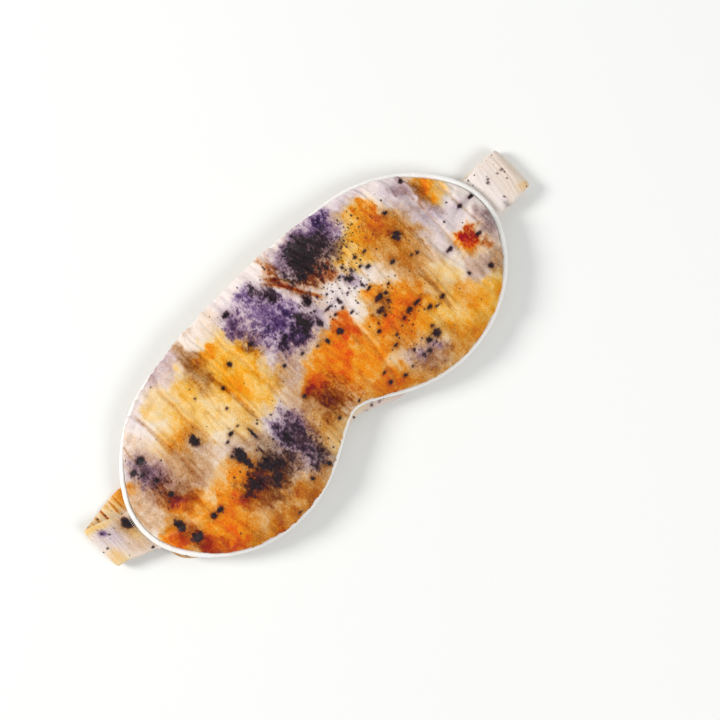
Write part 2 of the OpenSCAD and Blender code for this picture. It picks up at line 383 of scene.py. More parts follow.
# Creases of the front silk: start, end, half width, depth, how far it bows out to one side
CREASES = [
    ((-72, 36), (-70, -10), 1.0, 0.45, 1.0), ((-56, 36), (-55, 8), 0.9, 0.4, -0.8),
    ((-37, 32), (-33, -6), 0.9, 0.55, 0.8), ((-78, -7), (-77, -21), 0.7, 0.4, 0.3),
    ((63, -6), (61, -30), 0.8, 0.5, 0.7), ((11, 40), (21, 12), 1.0, 0.45, 1.0),
    ((-3, -18), (-2, -30), 0.6, 0.4, 0.2), ((1, -20), (2.5, -30), 0.6, 0.35, -0.2),
    ((-8, -18), (-6.5, -30), 0.7, 0.3, 0.2), ((7, -16), (8, -31), 0.7, 0.3, -0.2),
    ((26, -4), (20, -38), 1.1, 0.4, 1.2), ((45, 30), (44, 0), 1.1, 0.25, -1.0),
    ((-46, 8), (-43, -30), 1.1, 0.3, 1.2), ((-90, 26), (-88, -22), 1.0, 0.3, -1.5),
    ((82, 26), (80, -20), 1.2, 0.3, 1.4), ((-22, 30), (-20, -12), 1.2, 0.25, 1.0),
    ((38, -14), (35, -42), 0.9, 0.3, -0.6), ((72, 22), (71, -8), 1.1, 0.3, 0.8),
    ((96, 14), (97, -16), 0.9, 0.25, -1.0), ((-62, -14), (-60, -42), 1.0, 0.3, 0.8),
]


def front_relief(points, inner):
    """Long soft creases that run from brow to cheek, with finer ones near the rim."""
    x, y = points[:, 0], points[:, 1] - 0.7
    lean = x + 3.0 * fbm(x / 34, y / 26, 50, 2) + 0.10 * y
    soft = fbm(lean / 6.5, y / 44, 51, 3)
    fine = 1 - 2 * np.abs(noise(lean / 2.4, y / 30, 55))
    finer = 1 - 2 * np.abs(noise(lean / 1.2, y / 15, 56))
    patch = smooth(-0.15, 0.5, fbm(x / 17, y / 24, 58, 2))
    near = np.exp(-inner / 9)
    relief = 0.5 * soft + (0.12 + 0.32 * patch + 0.28 * near) * fine
    relief += (0.05 + 0.12 * patch + 0.14 * near) * finer
    relief += 0.22 * fbm(x / 10, y / 12, 60, 2)
    rim = smooth(-30, -55, x) * smooth(0, 18, y)  # folds along the rim at the upper left
    for out, depth in ((2.2, 0.5), (4.6, 0.35), (7.5, 0.25)):
        relief -= depth * rim * np.exp(-((inner - out - 0.8 * fbm(x / 14, y / 14, 62, 2)) / 0.6) ** 2)
    for crease in CREASES:
        relief += 2.4 * fold_line(x, y, *crease)
    return relief * smooth(0.0, 1.6, inner)


def back_relief(points, inner):
    """Shallow slack folds of the thin back silk."""
    x, y = points[:, 0], points[:, 1]
    lean = x + 3.0 * fbm(x / 30, y / 24, 70, 2) - 0.15 * y
    relief = 0.25 * fbm(lean / 7, y / 30, 71, 3)
    relief += 0.10 * (1 - 2 * np.abs(noise(lean / 2.6, y / 22, 74))) * (0.4 + np.exp(-inner / 8))
    return relief * smooth(0.0, 1.6, inner)


# How far each panel bulges past the piping, at angles round the mask
FRONT_OVER = around({0: -3.6, 12: -3.2, 25: -2.0, 60: -0.8, 90: -0.5, 120: -0.6, 155: -1.4, 168: -3.2,
                     180: -3.9, 192: -3.6, 204: -2.2, 235: -1.7, 262: -1.6, 270: -1.4, 280: -1.6,
                     305: -1.9, 335: -2.4, 350: -3.4})
BACK_OVER = around({0: -2.4, 60: -1.5, 90: -1.4, 170: -1.8, 186: -1.2, 193: 1.6, 199: -0.8,
                    230: -1.6, 256: -0.6, 264: 1.6, 279: 3.0, 292: 2.0, 301: -0.8, 340: -2.0})


SIM_SCALE = 10.0  # the cloth is simulated ten times larger, where the solver's units suit it
SIM_STEP = 2  # grid points of the silk to one of the simulation
SIM_FRAMES = 18
SPARE_WIDTH = 1.06  # how much wider than its place the silk is cut
SPARE_HEIGHT = 1.01
SILK_CLOTH = {"quality": 6, "mass": 0.3, "tension_stiffness": 20, "compression_stiffness": 20,
              "shear_stiffness": 8, "bending_stiffness": 0.4, "uniform_pressure_force": 1.5}


def blurred(grid, rounds):
    """A grid smoothed by repeated averaging, with its rim held."""
    for _ in range(rounds):
        wide = np.pad(grid, 1, mode="edge")
        grid = (wide[2:, 1:-1] + wide[:-2, 1:-1] + wide[1:-1, 2:] + wide[1:-1, :-2] + 4 * grid) / 8
    return grid


def simulated_relief(points, nx, ny):
    """Creases of silk cut a little too wide and blown up inside its seam, by cloth simulation."""
    rows, columns = nx // SIM_STEP + 1, ny // SIM_STEP + 1
    coarse = points.reshape(nx + 1, ny + 1, 3)[::SIM_STEP, ::SIM_STEP].reshape(-1, 3)
    start = coarse * MM * SIM_SCALE
    mesh = bpy.data.meshes.new("slack_silk")
    mesh.from_pydata(start.tolist(), [], grid_faces(rows, columns))
    cloth = link(bpy.data.objects.new("slack_silk", mesh))
    index = np.arange(rows * columns).reshape(rows, columns)
    rim = np.unique(np.concatenate([index[0], index[-1], index[:, 0], index[:, -1]])).tolist()
    cloth.vertex_groups.new(name="rim").add(rim, 1.0, "REPLACE")
    cloth.shape_key_add(name="Basis")
    wide = cloth.shape_key_add(name="wide")
    spare = start * (SPARE_WIDTH, SPARE_HEIGHT, 1.0)
    spare[:, 0] += 0.01 * fbm(coarse[:, 0] / 9, coarse[:, 1] / 30, 180, 2)
    wide.data.foreach_set("co", spare.astype(np.float32).ravel())
    modifier = cloth.modifiers.new("Cloth", "CLOTH")
    settings = modifier.settings
    values = dict(SILK_CLOTH, vertex_group_mass="rim", rest_shape_key=wide, use_pressure=True)
    for key, value in values.items():
        setattr(settings, key, value)
    settings.effector_weights.gravity = 0
    modifier.point_cache.frame_start = 1
    modifier.point_cache.frame_end = SIM_FRAMES
    scene = bpy.context.scene
    for step in range(1, SIM_FRAMES + 1):
        scene.frame_set(step)
    settled = cloth.evaluated_get(bpy.context.evaluated_depsgraph_get())
    co = np.empty(len(start) * 3, np.float32)
    settled.data.vertices.foreach_get("co", co)
    bpy.data.objects.remove(cloth)
    scene.frame_set(1)
    lift = ((co.reshape(-1, 3) - start) / (MM * SIM_SCALE))[:, 2].reshape(rows, columns)
    lift = (lift - blurred(lift, 90)).clip(-1.6, 1.6)
    x, y = np.meshgrid(np.arange(nx + 1) / SIM_STEP, np.arange(ny + 1) / SIM_STEP, indexing="ij")
    return blurred(between_cells(lift, x, y), 2).ravel()


def front_silk():
    """The dyed front, with its creases."""
    nx, ny = 420, 200
    points, inner, faces = puffed(1, nx, ny, FRONT_OVER)
    flat = points.copy()
    relief = front_relief(points, inner)
    relief += 1.5 * simulated_relief(points, nx, ny) * smooth(0.5, 4.5, inner)
    relief = relief.clip(-1.0)
    points = push_out(points, nx, ny, relief)
    points = rest_on_piping(points, 1)
    return make_piece("front_silk", points, faces, "mask", "dyed_silk", ["front_panel"], flat, False)


def strap_slot(points, inner, depth):
    """How far the back silk is drawn down at its edge where the strap leaves the side seams."""
    near = smooth(11.6, 10.6, np.abs(points[:, 1] - seam_y)) * smooth(90, 98, np.abs(points[:, 0]))
    return depth * near * np.exp(-inner / 5)


def back_silk():
    """The pale back, which stands out below the piping at the notch and at the lower left end."""
    nx, ny = 300, 140
    points, inner, faces = puffed(-1, nx, ny, BACK_OVER)
    flat = points.copy()
    points = push_out(points, nx, ny, -back_relief(points, inner))
    points = rest_on_piping(points, -1)
    points[:, 2] -= strap_slot(points, inner, 2.3)
    points[:, 2] = np.maximum(points[:, 2], back_bottom - 0.1)
    faces = [quad[::-1] for quad in faces]
    return make_piece("back_silk", points, faces, "mask", "pale_silk", ["back_panel"], flat, False)


def pad(name, top, bottom, nx, ny, slot, node):
    """A closed piece between two grids of points that lie one over the other."""
    size = len(top)
    faces = grid_faces(nx + 1, ny + 1)
    under = [[k + size for k in quad[::-1]] for quad in faces]
    index = np.arange(size).reshape(nx + 1, ny + 1)
    rim = np.concatenate([index[:, 0], index[-1, 1:], index[-2::-1, -1], index[0, -2:0:-1]]).tolist()
    walls = [[a, b, b + size, a + size] for a, b in zip(rim, rim[1:] + rim[:1])]
    points = np.concatenate([top, bottom])
    return make_piece(name, points, faces + under + walls, "mask", slot, [node])


WADDING_IN = 4.4  # where the wadding's rim lies, inwards from the piping's outer edge
LINING_IN = 9.2  # and where the interlining's does


def wadding(name, side, over, node):
    """A soft layer under a panel, with a step round its edge that clears the seam allowance."""
    nx, ny = 150, 70
    outer, inner, _ = puffed(side, nx, ny, np.minimum(over - 1.2, -2.8), WADDING_IN, 2.1)
    fluff = 0.14 * fbm(outer[:, 0] / 1.7, outer[:, 1] / 1.7, 80 + side, 3)
    outer[:, 2] += side * (fluff - 0.2) * smooth(0, 3, inner)
    d, _ = from_edge(outer)
    step = 0.4 + 0.6 * smooth(LINING_IN + 1.5, LINING_IN - 0.5, d)
    outer[:, 2] = seam_z + side * np.maximum(side * (outer[:, 2] - seam_z), step + 0.25)
    inward, _ = panel_grid(edge - (WADDING_IN + 0.3) * edge_out, nx, ny)
    flat = np.column_stack([inward, seam_z + side * step])
    return pad(name, outer, flat, nx, ny, "wadding", node)


def interlining():
    nx, ny = 150, 70
    xy, _ = panel_grid(edge - LINING_IN * edge_out, nx, ny)
    z = seam_z + 0.06 * fbm(xy[:, 0] / 14, xy[:, 1] / 18, 85, 2)
    top, bottom = np.column_stack([xy, z + 0.2]), np.column_stack([xy, z - 0.2])
    return pad("blackout_sheet", top, bottom, nx, ny, "blackout_cloth", "blackout_interlining")


# --- Edge: allowances, stitching and piping ---

def allowance(name, side, slot, node):
    """The strip of a panel that is folded in behind the seam."""
    width = LINING_IN - SEAM_IN + 0.25 * noise(edge_at / 3, edge_at * 0, 90 + side)
    inset = SEAM_IN + np.outer(width, [0, 0.25, 0.5, 0.75, 1, 1, 0.75, 0.5, 0.25, 0])
    lift = np.array([0.3] * 5 + [0.05] * 5)
    wave = 0.05 * noise(edge_at / 4, edge_at * 0, 92 + side)
    z = seam_z + side * (0.42 + lift + wave[:, None])
    return make_piece(name, *hoop(inset, z), "mask", slot, [node])


THREAD_SIDES = 6
# Along a length of thread: how far, how thick and how far it rises, as shares
THREAD_SHAPE = [(0.0, 0.35, -0.25), (0.12, 0.9, 0.0), (0.5, 1.0, 0.35), (0.88, 0.9, 0.0),
                (1.0, 0.35, -0.25)]


def stitches(name, starts, ends, radius, node):
    """Short lengths of thread, each a closed tube that narrows at both ends."""
    starts, ends = np.array(starts), np.array(ends)
    along = (ends - starts) / np.linalg.norm(ends - starts, axis=1, keepdims=True)
    side = np.cross(along, (0.0, 0.0, 1.0))
    side /= np.linalg.norm(side, axis=1, keepdims=True)
    other = np.cross(side, along)
    points, faces = [], []
    for k in range(len(starts)):
        base = len(points)
        for t, r, rise in THREAD_SHAPE:
            centre = starts[k] + t * (ends[k] - starts[k]) + rise * radius * other[k]
            for a in np.arange(THREAD_SIDES) * 2 * np.pi / THREAD_SIDES:
                points.append(centre + r * radius * (math.cos(a) * side[k] + math.sin(a) * other[k]))
        tube = grid_faces(len(THREAD_SHAPE), THREAD_SIDES, False, True)
        tube += end_caps(len(THREAD_SHAPE), THREAD_SIDES)
        faces += [[base + i for i in face] for face in tube]
    make_piece(name, points, faces, "mask", "thread", [node])


STITCH = 2.2  # length of a stitch of the edge seam
STITCH_GAP = 0.16  # share of it in which the thread is down in the cloth
STITCH_IN = 6.0  # where the seam lies, inwards from the piping's outer edge


def seam_stitching():
    """Both rows of the lockstitch that holds the panels and the piping's flange."""
    line = edge - STITCH_IN * edge_out
    count = int(edge_length / STITCH)
    at = (np.arange(count) * EDGE_STEPS / count).round().astype(int)
    gap = int(STITCH_GAP * EDGE_STEPS / count)
    starts, ends = [], []
    for side in (1, -1):
        z = np.full(count, seam_z + side * 0.84)
        starts.append(np.column_stack([line[at], z]))
        ends.append(np.column_stack([line[(np.roll(at, -1) - gap) % EDGE_STEPS], z]))
    stitches("seam_thread", np.concatenate(starts), np.concatenate(ends), 0.13, "seam_stitching")


END_STITCH = 0.9  # length of the small stitches over the strap


def end_stitches():
    """Small stitches on the strap, in two rows beside the piping, at both ends."""
    starts, ends = [], []
    for side in (-1, 1):
        for out in (0.55, 1.25):
            y = np.arange(seam_y - elastic_w / 2, seam_y + elastic_w / 2, END_STITCH)
            for low in y:
                at = [low + 0.15 * END_STITCH, low + 0.75 * END_STITCH]
                on = [edge[np.argmin(np.hypot(edge[:, 0] - side * seam_x, edge[:, 1] - v))] for v in at]
                line = [(side * out + corner[0], v, UPPER_Z + 0.82) for corner, v in zip(on, at)]
                starts.append(line[0])
                ends.append(line[1])
    stitches("end_stitches", starts, ends, 0.14, "seam_stitching")


def piping_wrinkles(angle):
    """Relief of the satin at an angle round the cord: bias folds, puckers and the cord's own bumps."""
    at = edge_at[:, None]
    twist = at + 1.1 * angle[None, :]
    seed_row = np.zeros_like(twist)
    folds = noise(twist / 2.1, seed_row + 0.8 * np.cos(angle), 95)
    fine = 1 - 2 * np.abs(noise(twist / 0.9, seed_row + 1.5 * np.cos(angle), 96))
    soft = noise(at / 7, seed_row, 97)
    puckers = 0.5 + 0.5 * np.cos(2 * np.pi * at / STITCH)
    inward = smooth(0.2, 1.0, -np.cos(angle))[None, :]
    return 0.07 * folds + 0.035 * fine + 0.05 * soft - 0.09 * puckers * inward


def piping():
    """The satin strip, as one closed section with its flange, and the cord inside it."""
    cord_r = piping_r - 0.38
    open_angle = math.asin(0.3 / piping_r)
    # angle 0 points out of the mask, and the flange leaves at 180 degrees
    angle = np.linspace(math.pi - open_angle, open_angle - math.pi, 21)
    outer_r = piping_r - 0.06 + piping_wrinkles(angle)
    outer_in = piping_r - outer_r * np.cos(angle)
    outer_z = seam_z + outer_r * np.sin(angle)
    inner_angle = angle[::-2] * 0.98
    inner_in = np.tile(piping_r - cord_r * np.cos(inner_angle), (EDGE_STEPS, 1))
    inner_z = np.tile(seam_z + cord_r * np.sin(inner_angle), (EDGE_STEPS, 1))
    ends = np.array([[LINING_IN - 0.2, 0.30], [5.5, 0.30]])
    flange_in = np.tile(ends[:, 0], (EDGE_STEPS, 1))
    up = np.tile(seam_z + ends[:, 1], (EDGE_STEPS, 1))
    down = 2 * seam_z - up
    slit = 0.05
    section_in = [flange_in, outer_in, flange_in[:, ::-1], flange_in, inner_in, flange_in[:, ::-1]]
    section_z = [up, outer_z, down[:, ::-1], np.full_like(up, seam_z - slit), inner_z,
                 np.full_like(up, seam_z + slit)]
    shell = hoop(np.concatenate(section_in, 1), np.concatenate(section_z, 1))
    cover = make_piece("piping_satin", *shell, "mask", "satin", ["piping_cover"])
    turn = np.linspace(0, 2 * np.pi, 12, endpoint=False)
    strands = (cord_r - 0.14) + 0.05 * np.cos(3 * turn[None, :] - edge_at[:, None] * 2 * np.pi / 5)
    twisted = hoop(piping_r - strands * np.cos(turn), seam_z + strands * np.sin(turn))
    cord = make_piece("piping_core", *twisted, "mask", "cotton_cord", ["piping_cord"])
    return cover, cord


# --- Strap ---

LOWER_Z = strap_t / 2 + 0.05  # middle of the strap's lower layer
UPPER_Z = hinges["left_fold"][2] + 0.95  # middle of its upper layer, under the mask
TURN_R = (UPPER_Z - LOWER_Z) / 2
TURN_X = fold_x - TURN_R - 0.5 * strap_t
UPPER_RUN = TURN_X - seam_x
TURN_RUN = math.pi * TURN_R
HALF_STRAP = UPPER_RUN + TURN_RUN + TURN_X

# Sideways place of the strap's middle line, at distances from the seam
STRAP_Y = {
    -1: [(0, seam_y), (UPPER_RUN, left_fold_y), (UPPER_RUN + TURN_RUN, left_fold_y + 0.6),
         (UPPER_RUN + TURN_RUN + 18, 7.2), (UPPER_RUN + TURN_RUN + 60, 4.2), (HALF_STRAP, 1.5)],
    1: [(0, seam_y), (UPPER_RUN, seam_y), (UPPER_RUN + TURN_RUN, seam_y),
        (UPPER_RUN + TURN_RUN + 50, -1.0), (HALF_STRAP, 1.5)],
}


def strap_line(side, s):
    """Middle line of the strap at distances s from the seam: place (x, z), outward normal, and y."""
    s = np.asarray(s, float)
    turn = ((s - UPPER_RUN) / TURN_R).clip(0, math.pi)
    back = (s - UPPER_RUN - TURN_RUN).clip(0)
    x = np.where(s < UPPER_RUN, seam_x + s, TURN_X + TURN_R * np.sin(turn) - back)
    z = (UPPER_Z + LOWER_Z) / 2 + TURN_R * np.cos(turn)
    z = z + 0.35 * np.sin(np.pi * (s / UPPER_RUN).clip(0, 1)) - 0.10 * smooth(3, 0, s)
    keys = np.array(STRAP_Y[side])
    y = np.interp(s, keys[:, 0], keys[:, 1])
    for shift in (-3, 3):
        y = y + np.interp(s + shift, keys[:, 0], keys[:, 1])
    return x, z, np.sin(turn), np.cos(turn), y / 3


def strap_points(side, line, across, height):
    """Points of the strap at places across it and at heights off its middle line."""
    x, z, nx, nz, y = (values[:, None] for values in line)
    return grid_points(side * (x + nx * height), y + across, z + nz * height)


def band(width, heights):
    """Section of a flat band: places across it and heights, over its top and back under it."""
    across = np.linspace(-1, 1, len(heights))
    w = np.concatenate([across, across[::-1]]) * width / 2
    return w, np.concatenate([heights, -heights[::-1]])


def pleats(g, w, seed):
    """Gathers of the sleeve, coarse and fine, at a distance g along the strap and w across it."""
    lean = g + 1.5 * fbm(g / 12, w / 20, seed, 2) + 0.06 * w
    coarse, fine = noise(lean / 1.7, w / 24, seed + 2), noise(lean / 0.95, w / 12, seed + 3)
    return np.abs(coarse) ** 0.8, np.abs(fine)


def ruche(g, w, seed):
    """Height of the gathered silk."""
    folds, fine = pleats(g, w, seed)
    return 1.05 * folds + 0.42 * fine - 0.55


TOP_PLEATS, UNDER_PLEATS = 100, 110
CALM = {-1: 0.65, 1: 0.45}  # how deep the pleats are on the flat run beside the mask
KNUCKLE = 0.6  # radius of the strap's rounded end, which turns about the side seam
KNUCKLE_STEPS = np.array([1.0, 0.95, 0.8, 0.55, 0.25])


def sleeve_run(side, s0, s1, step=0.36, columns=72):
    """A closed stretch of the gathered sleeve, from s0 to s1 along one half of the strap."""
    s = np.linspace(s0, s1, int(round((s1 - s0) / step)) + 1)
    if s0 == 0:
        s = np.concatenate([KNUCKLE * -KNUCKLE_STEPS, s])
    line = strap_line(side, s)
    g = side * (HALF_STRAP - s)
    cap = np.sqrt(1 - (-s / KNUCKLE).clip(0, 1) ** 2)
    half = sleeve_w / 2 - 0.15 + 0.25 * noise(g / 2.2, g * 0, 120) + 0.2 * noise(g / 9, g * 0, 121)
    half = half - 0.5 * smooth(6, 0, s)
    thick = (strap_t / 2 - 0.1) * (0.5 + 0.5 * smooth(0, 5, s)) * cap
    turn = np.linspace(0, 2 * np.pi, columns, endpoint=False)
    across = np.sign(np.cos(turn)) * np.abs(np.cos(turn)) ** 0.8
    out = np.sign(np.sin(turn)) * (1 - np.abs(across) ** 5) ** 0.5
    w = half[:, None] * across[None, :]
    gg = np.repeat(g[:, None], columns, 1)
    wrinkle = np.where(out > 0, ruche(gg, w, TOP_PLEATS), ruche(gg, w, UNDER_PLEATS))
    calm = CALM[side] + (1 - CALM[side]) * smooth(12, 18, s)
    amount = ((0.25 + 0.75 * smooth(0, 6, s)) * calm * cap)[:, None] * np.abs(out)
    height = thick[:, None] * out + np.sign(out) * wrinkle * amount * 0.75
    on_table = line[3][:, None] < -0.5  # the lower layer, whose underside is its outer side
    height = np.where(on_table, np.minimum(height, LOWER_Z - 0.02), height)
    rest = grid_points(gg, w, np.sign(out))
    return strap_points(side, line, w, height), grid_faces(len(s), columns, False, True), rest


RIBS = 12  # cords in one half of the elastic's width


def elastic_run(side, s0, s1, step=1.0):
    """The knitted elastic inside: a flat band with cords along it, closed at both ends."""
    rows = int(round((s1 - s0) / step)) + 1
    s = np.linspace(s0, s1, rows)
    w, out = band(elastic_w, 0.42 + 0.07 * np.cos(np.pi * RIBS * np.linspace(-1, 1, 4 * RIBS + 1)))
    faces = grid_faces(rows, len(w), False, True) + end_caps(rows, len(w))
    rest = grid_points(side * (HALF_STRAP - s)[:, None], w, out)
    return strap_points(side, strap_line(side, s), w, out), faces, rest


FOLD_RUN = UPPER_RUN - 1  # where the strap starts to turn at the fold
END_RUN = HALF_STRAP - 60  # where the fold pieces meet the bend pieces


def strap():
    """The gathered sleeve and its elastic, in stretches: those beside the mask are attached to the wing
    bodies, and the rest have no body.
    """
    pieces = {}
    for side, word in ((-1, "left"), (1, "right")):
        wing, rear = word + "_wing", word + "_rear"
        for kind, maker, slot, first in (("sleeve", sleeve_run, "strap_silk", 0.0),
                                         ("elastic", elastic_run, "elastic", 0.9)):
            # the elastic would come through the sleeve as the fold opens, so it leaves the turn out
            fold_from = FOLD_RUN if kind == "sleeve" else UPPER_RUN + TURN_RUN + 4
            stretches = {"run": (first, FOLD_RUN, wing, [wing]),
                         "fold": (fold_from, END_RUN, None, [rear]),
                         "bend": (END_RUN, HALF_STRAP, None, [rear, "middle"])}
            for part, (s0, s1, body, nodes) in stretches.items():
                name = f"{kind}_{word}_{part}"
                points, faces, rest = maker(side, s0, s1)
                stands_for = [f"{kind}_{node}" for node in nodes]
                pieces[name] = make_piece(name, points, faces, body, slot, stands_for, rest)
            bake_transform(pieces[f"{kind}_{word}_fold"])
            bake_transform(pieces[f"{kind}_{word}_bend"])
    return pieces


TAIL_X = 96.6  # where the sewn strap ends stop, inside the mask
SEWN_KNUCKLE = 0.85 * KNUCKLE


def tail_line(x):
    """Height of the middle of a sewn strap end: level under the flange, then down under the piping."""
    return 6.62 + 1.55 * smooth(seam_x - 1.4, seam_x - 4.6, x)


def sewn_ends():
    """The flattened ends of sleeve and elastic, caught in the side seams."""
    for side, word in ((-1, "left"), (1, "right")):
        for kind, width, half, slot in (("sleeve", sleeve_w - 0.3, 0.44, "strap_silk"),
                                        ("elastic", elastic_w, 0.15, "elastic")):
            sleeve = kind == "sleeve"
            x = np.linspace(TAIL_X, seam_x - (0.0 if sleeve else 0.2), 26)
            if sleeve:
                x = np.concatenate([x, seam_x + SEWN_KNUCKLE * KNUCKLE_STEPS[::-1]])
            cap = np.sqrt(1 - ((x - seam_x) / SEWN_KNUCKLE).clip(0, 1) ** 2)
            w, out = band(width, half * (1 - np.abs(np.linspace(-1, 1, 41)) ** 6) ** 0.5)
            gg, ww = np.meshgrid(side * (HALF_STRAP + seam_x - x), w, indexing="ij")
            wrinkle = (np.abs(noise(gg / 3.0, ww / 1.3, 130)) - 0.25) * 0.3 if sleeve else 0 * gg
            height = out * (1 + wrinkle)
            points = grid_points(side * x[:, None], seam_y + ww,
                                 tail_line(x)[:, None] + height * cap[:, None])
            caps = end_caps(len(x), len(w))
            # the sleeve's outer end is rounded, and needs no cap
            faces = grid_faces(len(x), len(w), False, True) + (caps[:1] if sleeve else caps)
            make_piece(f"{kind}_{word}_sewn", points, faces, "mask", slot, [f"{kind}_ends"],
                       grid_points(gg, ww, np.sign(height)))


TACK_STITCHES = 44


def bar_tacks():
    """A zigzag of thread across each sewn end."""
    starts, ends = [], []
    for side in (-1, 1):
        y = seam_y + np.linspace(-0.5, 0.5, TACK_STITCHES + 1) * (elastic_w - 1)
        x = side * (TAIL_X + 2.4 + 0.7 * (np.arange(TACK_STITCHES + 1) % 2 - 0.5))
        z = np.full(TACK_STITCHES + 1, tail_line(TAIL_X) - 0.52)
        line = np.column_stack([x, y, z])
        starts.append(line[:-1])
        ends.append(line[1:])
    stitches("tack_thread", np.concatenate(starts), np.concatenate(ends), 0.11, "bar_tacks")


# --- Dye pattern, and painted shade in creases and pleats ---

# Dye colours, linear, at full strength on the pale silk
SILK = np.array([0.88, 0.80, 0.765])
DYES = {
    "gold": (0.88, 0.46, 0.08), "orange": (0.82, 0.24, 0.022), "amber": (0.53, 0.20, 0.04),
    "rust": (0.42, 0.098, 0.020), "red": (0.74, 0.15, 0.024), "brown": (0.30, 0.127, 0.045),
    "violet": (0.150, 0.085, 0.205), "ink": (0.027, 0.012, 0.017), "lilac": (0.55, 0.47, 0.58),
    "mauve": (0.45, 0.30, 0.29), "tan": (0.62, 0.40, 0.24), "slate": (0.20, 0.18, 0.20),
}

DEPTHS = {dye: -np.log(np.array(colour) / SILK) for dye, colour in DYES.items()}
DARKEST = np.array([3.8, 4.3, 4.0])  # the deepest that dye can stain, as a log of each channel

# Soft washes of each dye: place x and y, half width, half height, strength
WASHES = {
    "lilac": [
        (-72, 38, 14, 5, 0.25), (-52, 42, 8, 3, 0.35), (79, 20, 7, 16, 0.5), (76, 0, 8, 12, 0.25),
        (90, 3, 7, 7, 0.3), (62, 40, 10, 4, 0.3)],
    "mauve": [
        (-49, 40, 7, 4, 0.55), (-84, 7, 8, 12, 0.85), (-72, -6, 6, 5, 0.3), (-9, 2, 8, 6, 0.55),
        (81, 27, 5, 4, 0.45), (86, 17, 3, 10, 0.85), (100, -11, 4, 6, 0.75), (82, -24, 5, 5, 0.35)],
    "tan": [
        (-84, 28, 6, 7, 0.15), (-50, 31, 6, 5, 0.15), (-71, 4, 6, 12, 0.55), (-97, 2, 6, 13, 0.75),
        (-13, -19, 9, 15, 0.75), (-60, -4, 14, 6, 0.3), (-68, 2, 8, 8, 0.3), (-9, 30, 5, 6, 0.2),
        (-20, 40, 5, 5, 0.25), (36, -24, 8, 8, 0.35), (60, -12, 7, 12, 0.45), (56, 34, 8, 5, 0.35),
        (89, -20, 9, 8, 0.45), (-70, 3, 8, 8, 0.45), (-60, 9, 7, 6, 0.5), (-80, 20, 6, 8, 0.3),
        (70, 12, 5, 10, 0.3), (54, 1, 9, 5, 0.2)],
    "gold": [
        (-61, 33, 7, 6, 0.45), (-46, 28, 5, 6, 0.75), (-53, 22, 8, 6, 0.35), (-26, 20, 11, 14, 0.9),
        (-65, 18, 9, 7, 0.25), (-45, 12, 14, 8, 0.4), (-70, -44, 20, 6, 0.35), (-78, -28, 8, 8, 0.3),
        (-16, -30, 9, 10, 0.4), (-17, 12, 4, 10, 0.3), (17, -14, 6, 10, 0.3), (12, -34, 14, 5, 0.3),
        (44, -42, 18, 6, 0.25), (55, -26, 9, 9, 0.65), (70, -41, 15, 9, 0.8), (68, -18, 7, 10, 0.35),
        (65, 14, 8, 11, 0.3), (50, 20, 10, 6, 0.85), (57, 29, 5, 6, 0.55), (92, 19, 7, 8, 0.45),
        (85, -35, 9, 5, 0.6), (-20, 2, 9, 5, 0.5), (-36, 0, 12, 5, 0.4), (0, 5, 10, 4, 0.2)],
    "brown": [
        (-37, 37, 5, 5, 0.65), (-38, 27, 4, 7, 0.5), (-79, -8, 4, 5, 0.3), (-49, -27, 12, 7, 0.85),
        (-41, -12, 6, 8, 0.35), (-9, -17, 4, 9, 0.4), (92, -27, 4, 5, 0.4)],
    "orange": [
        (-31, 12, 6, 8, 0.2), (-29, 32, 5, 3, 0.45), (-66, 15, 7, 7, 0.22), (-96, 13, 4, 3, 0.45),
        (-86, 0, 5, 6, 0.25), (-97, -18, 5, 6, 0.9), (-76, -27, 12, 11, 0.85), (-58, -18, 12, 9, 0.85),
        (-80, -39, 6, 4, 0.5), (6, -9, 13, 7, 0.8), (12, -1, 7, 4, 0.35), (14, -20, 12, 10, 0.6),
        (40, 0, 5, 3.5, 0.6), (20, -34, 7, 7, 0.6), (-5, -8, 5, 4, 0.6), (42, -10, 15, 6.5, 0.8),
        (40, -19, 14, 8, 0.55), (71, -30, 6, 7, 0.35), (64, 27, 3.5, 6, 0.6), (91, 20, 6, 7, 0.55),
        (-84, -9, 8, 6, 0.7), (-60, 12, 5, 5, 0.25), (-84, -40, 6, 4, 0.5)],
    "slate": [(-86, 14, 4, 7, 0.15), (100, -12, 2.5, 4, 0.25)],
    "rust": [
        (-81, -8, 4, 5, 0.3), (-93, -19, 5, 5, 0.45), (-89, -27, 4, 7, 0.8), (-58, -29, 5, 5, 0.3),
        (-4, -17, 5, 8, 0.15), (3, -24, 6, 5, 0.25)],
    "amber": [
        (-66, -43, 26, 9, 0.5), (-44, -45, 20, 9, 0.65), (13, -37, 16, 8, 0.55), (46, -44, 20, 9, 0.45),
        (63, 8, 10, 14, 0.75), (-90, -31, 7, 7, 0.8)],
    "red": [(22, 0, 4, 6, 1.0)],
}

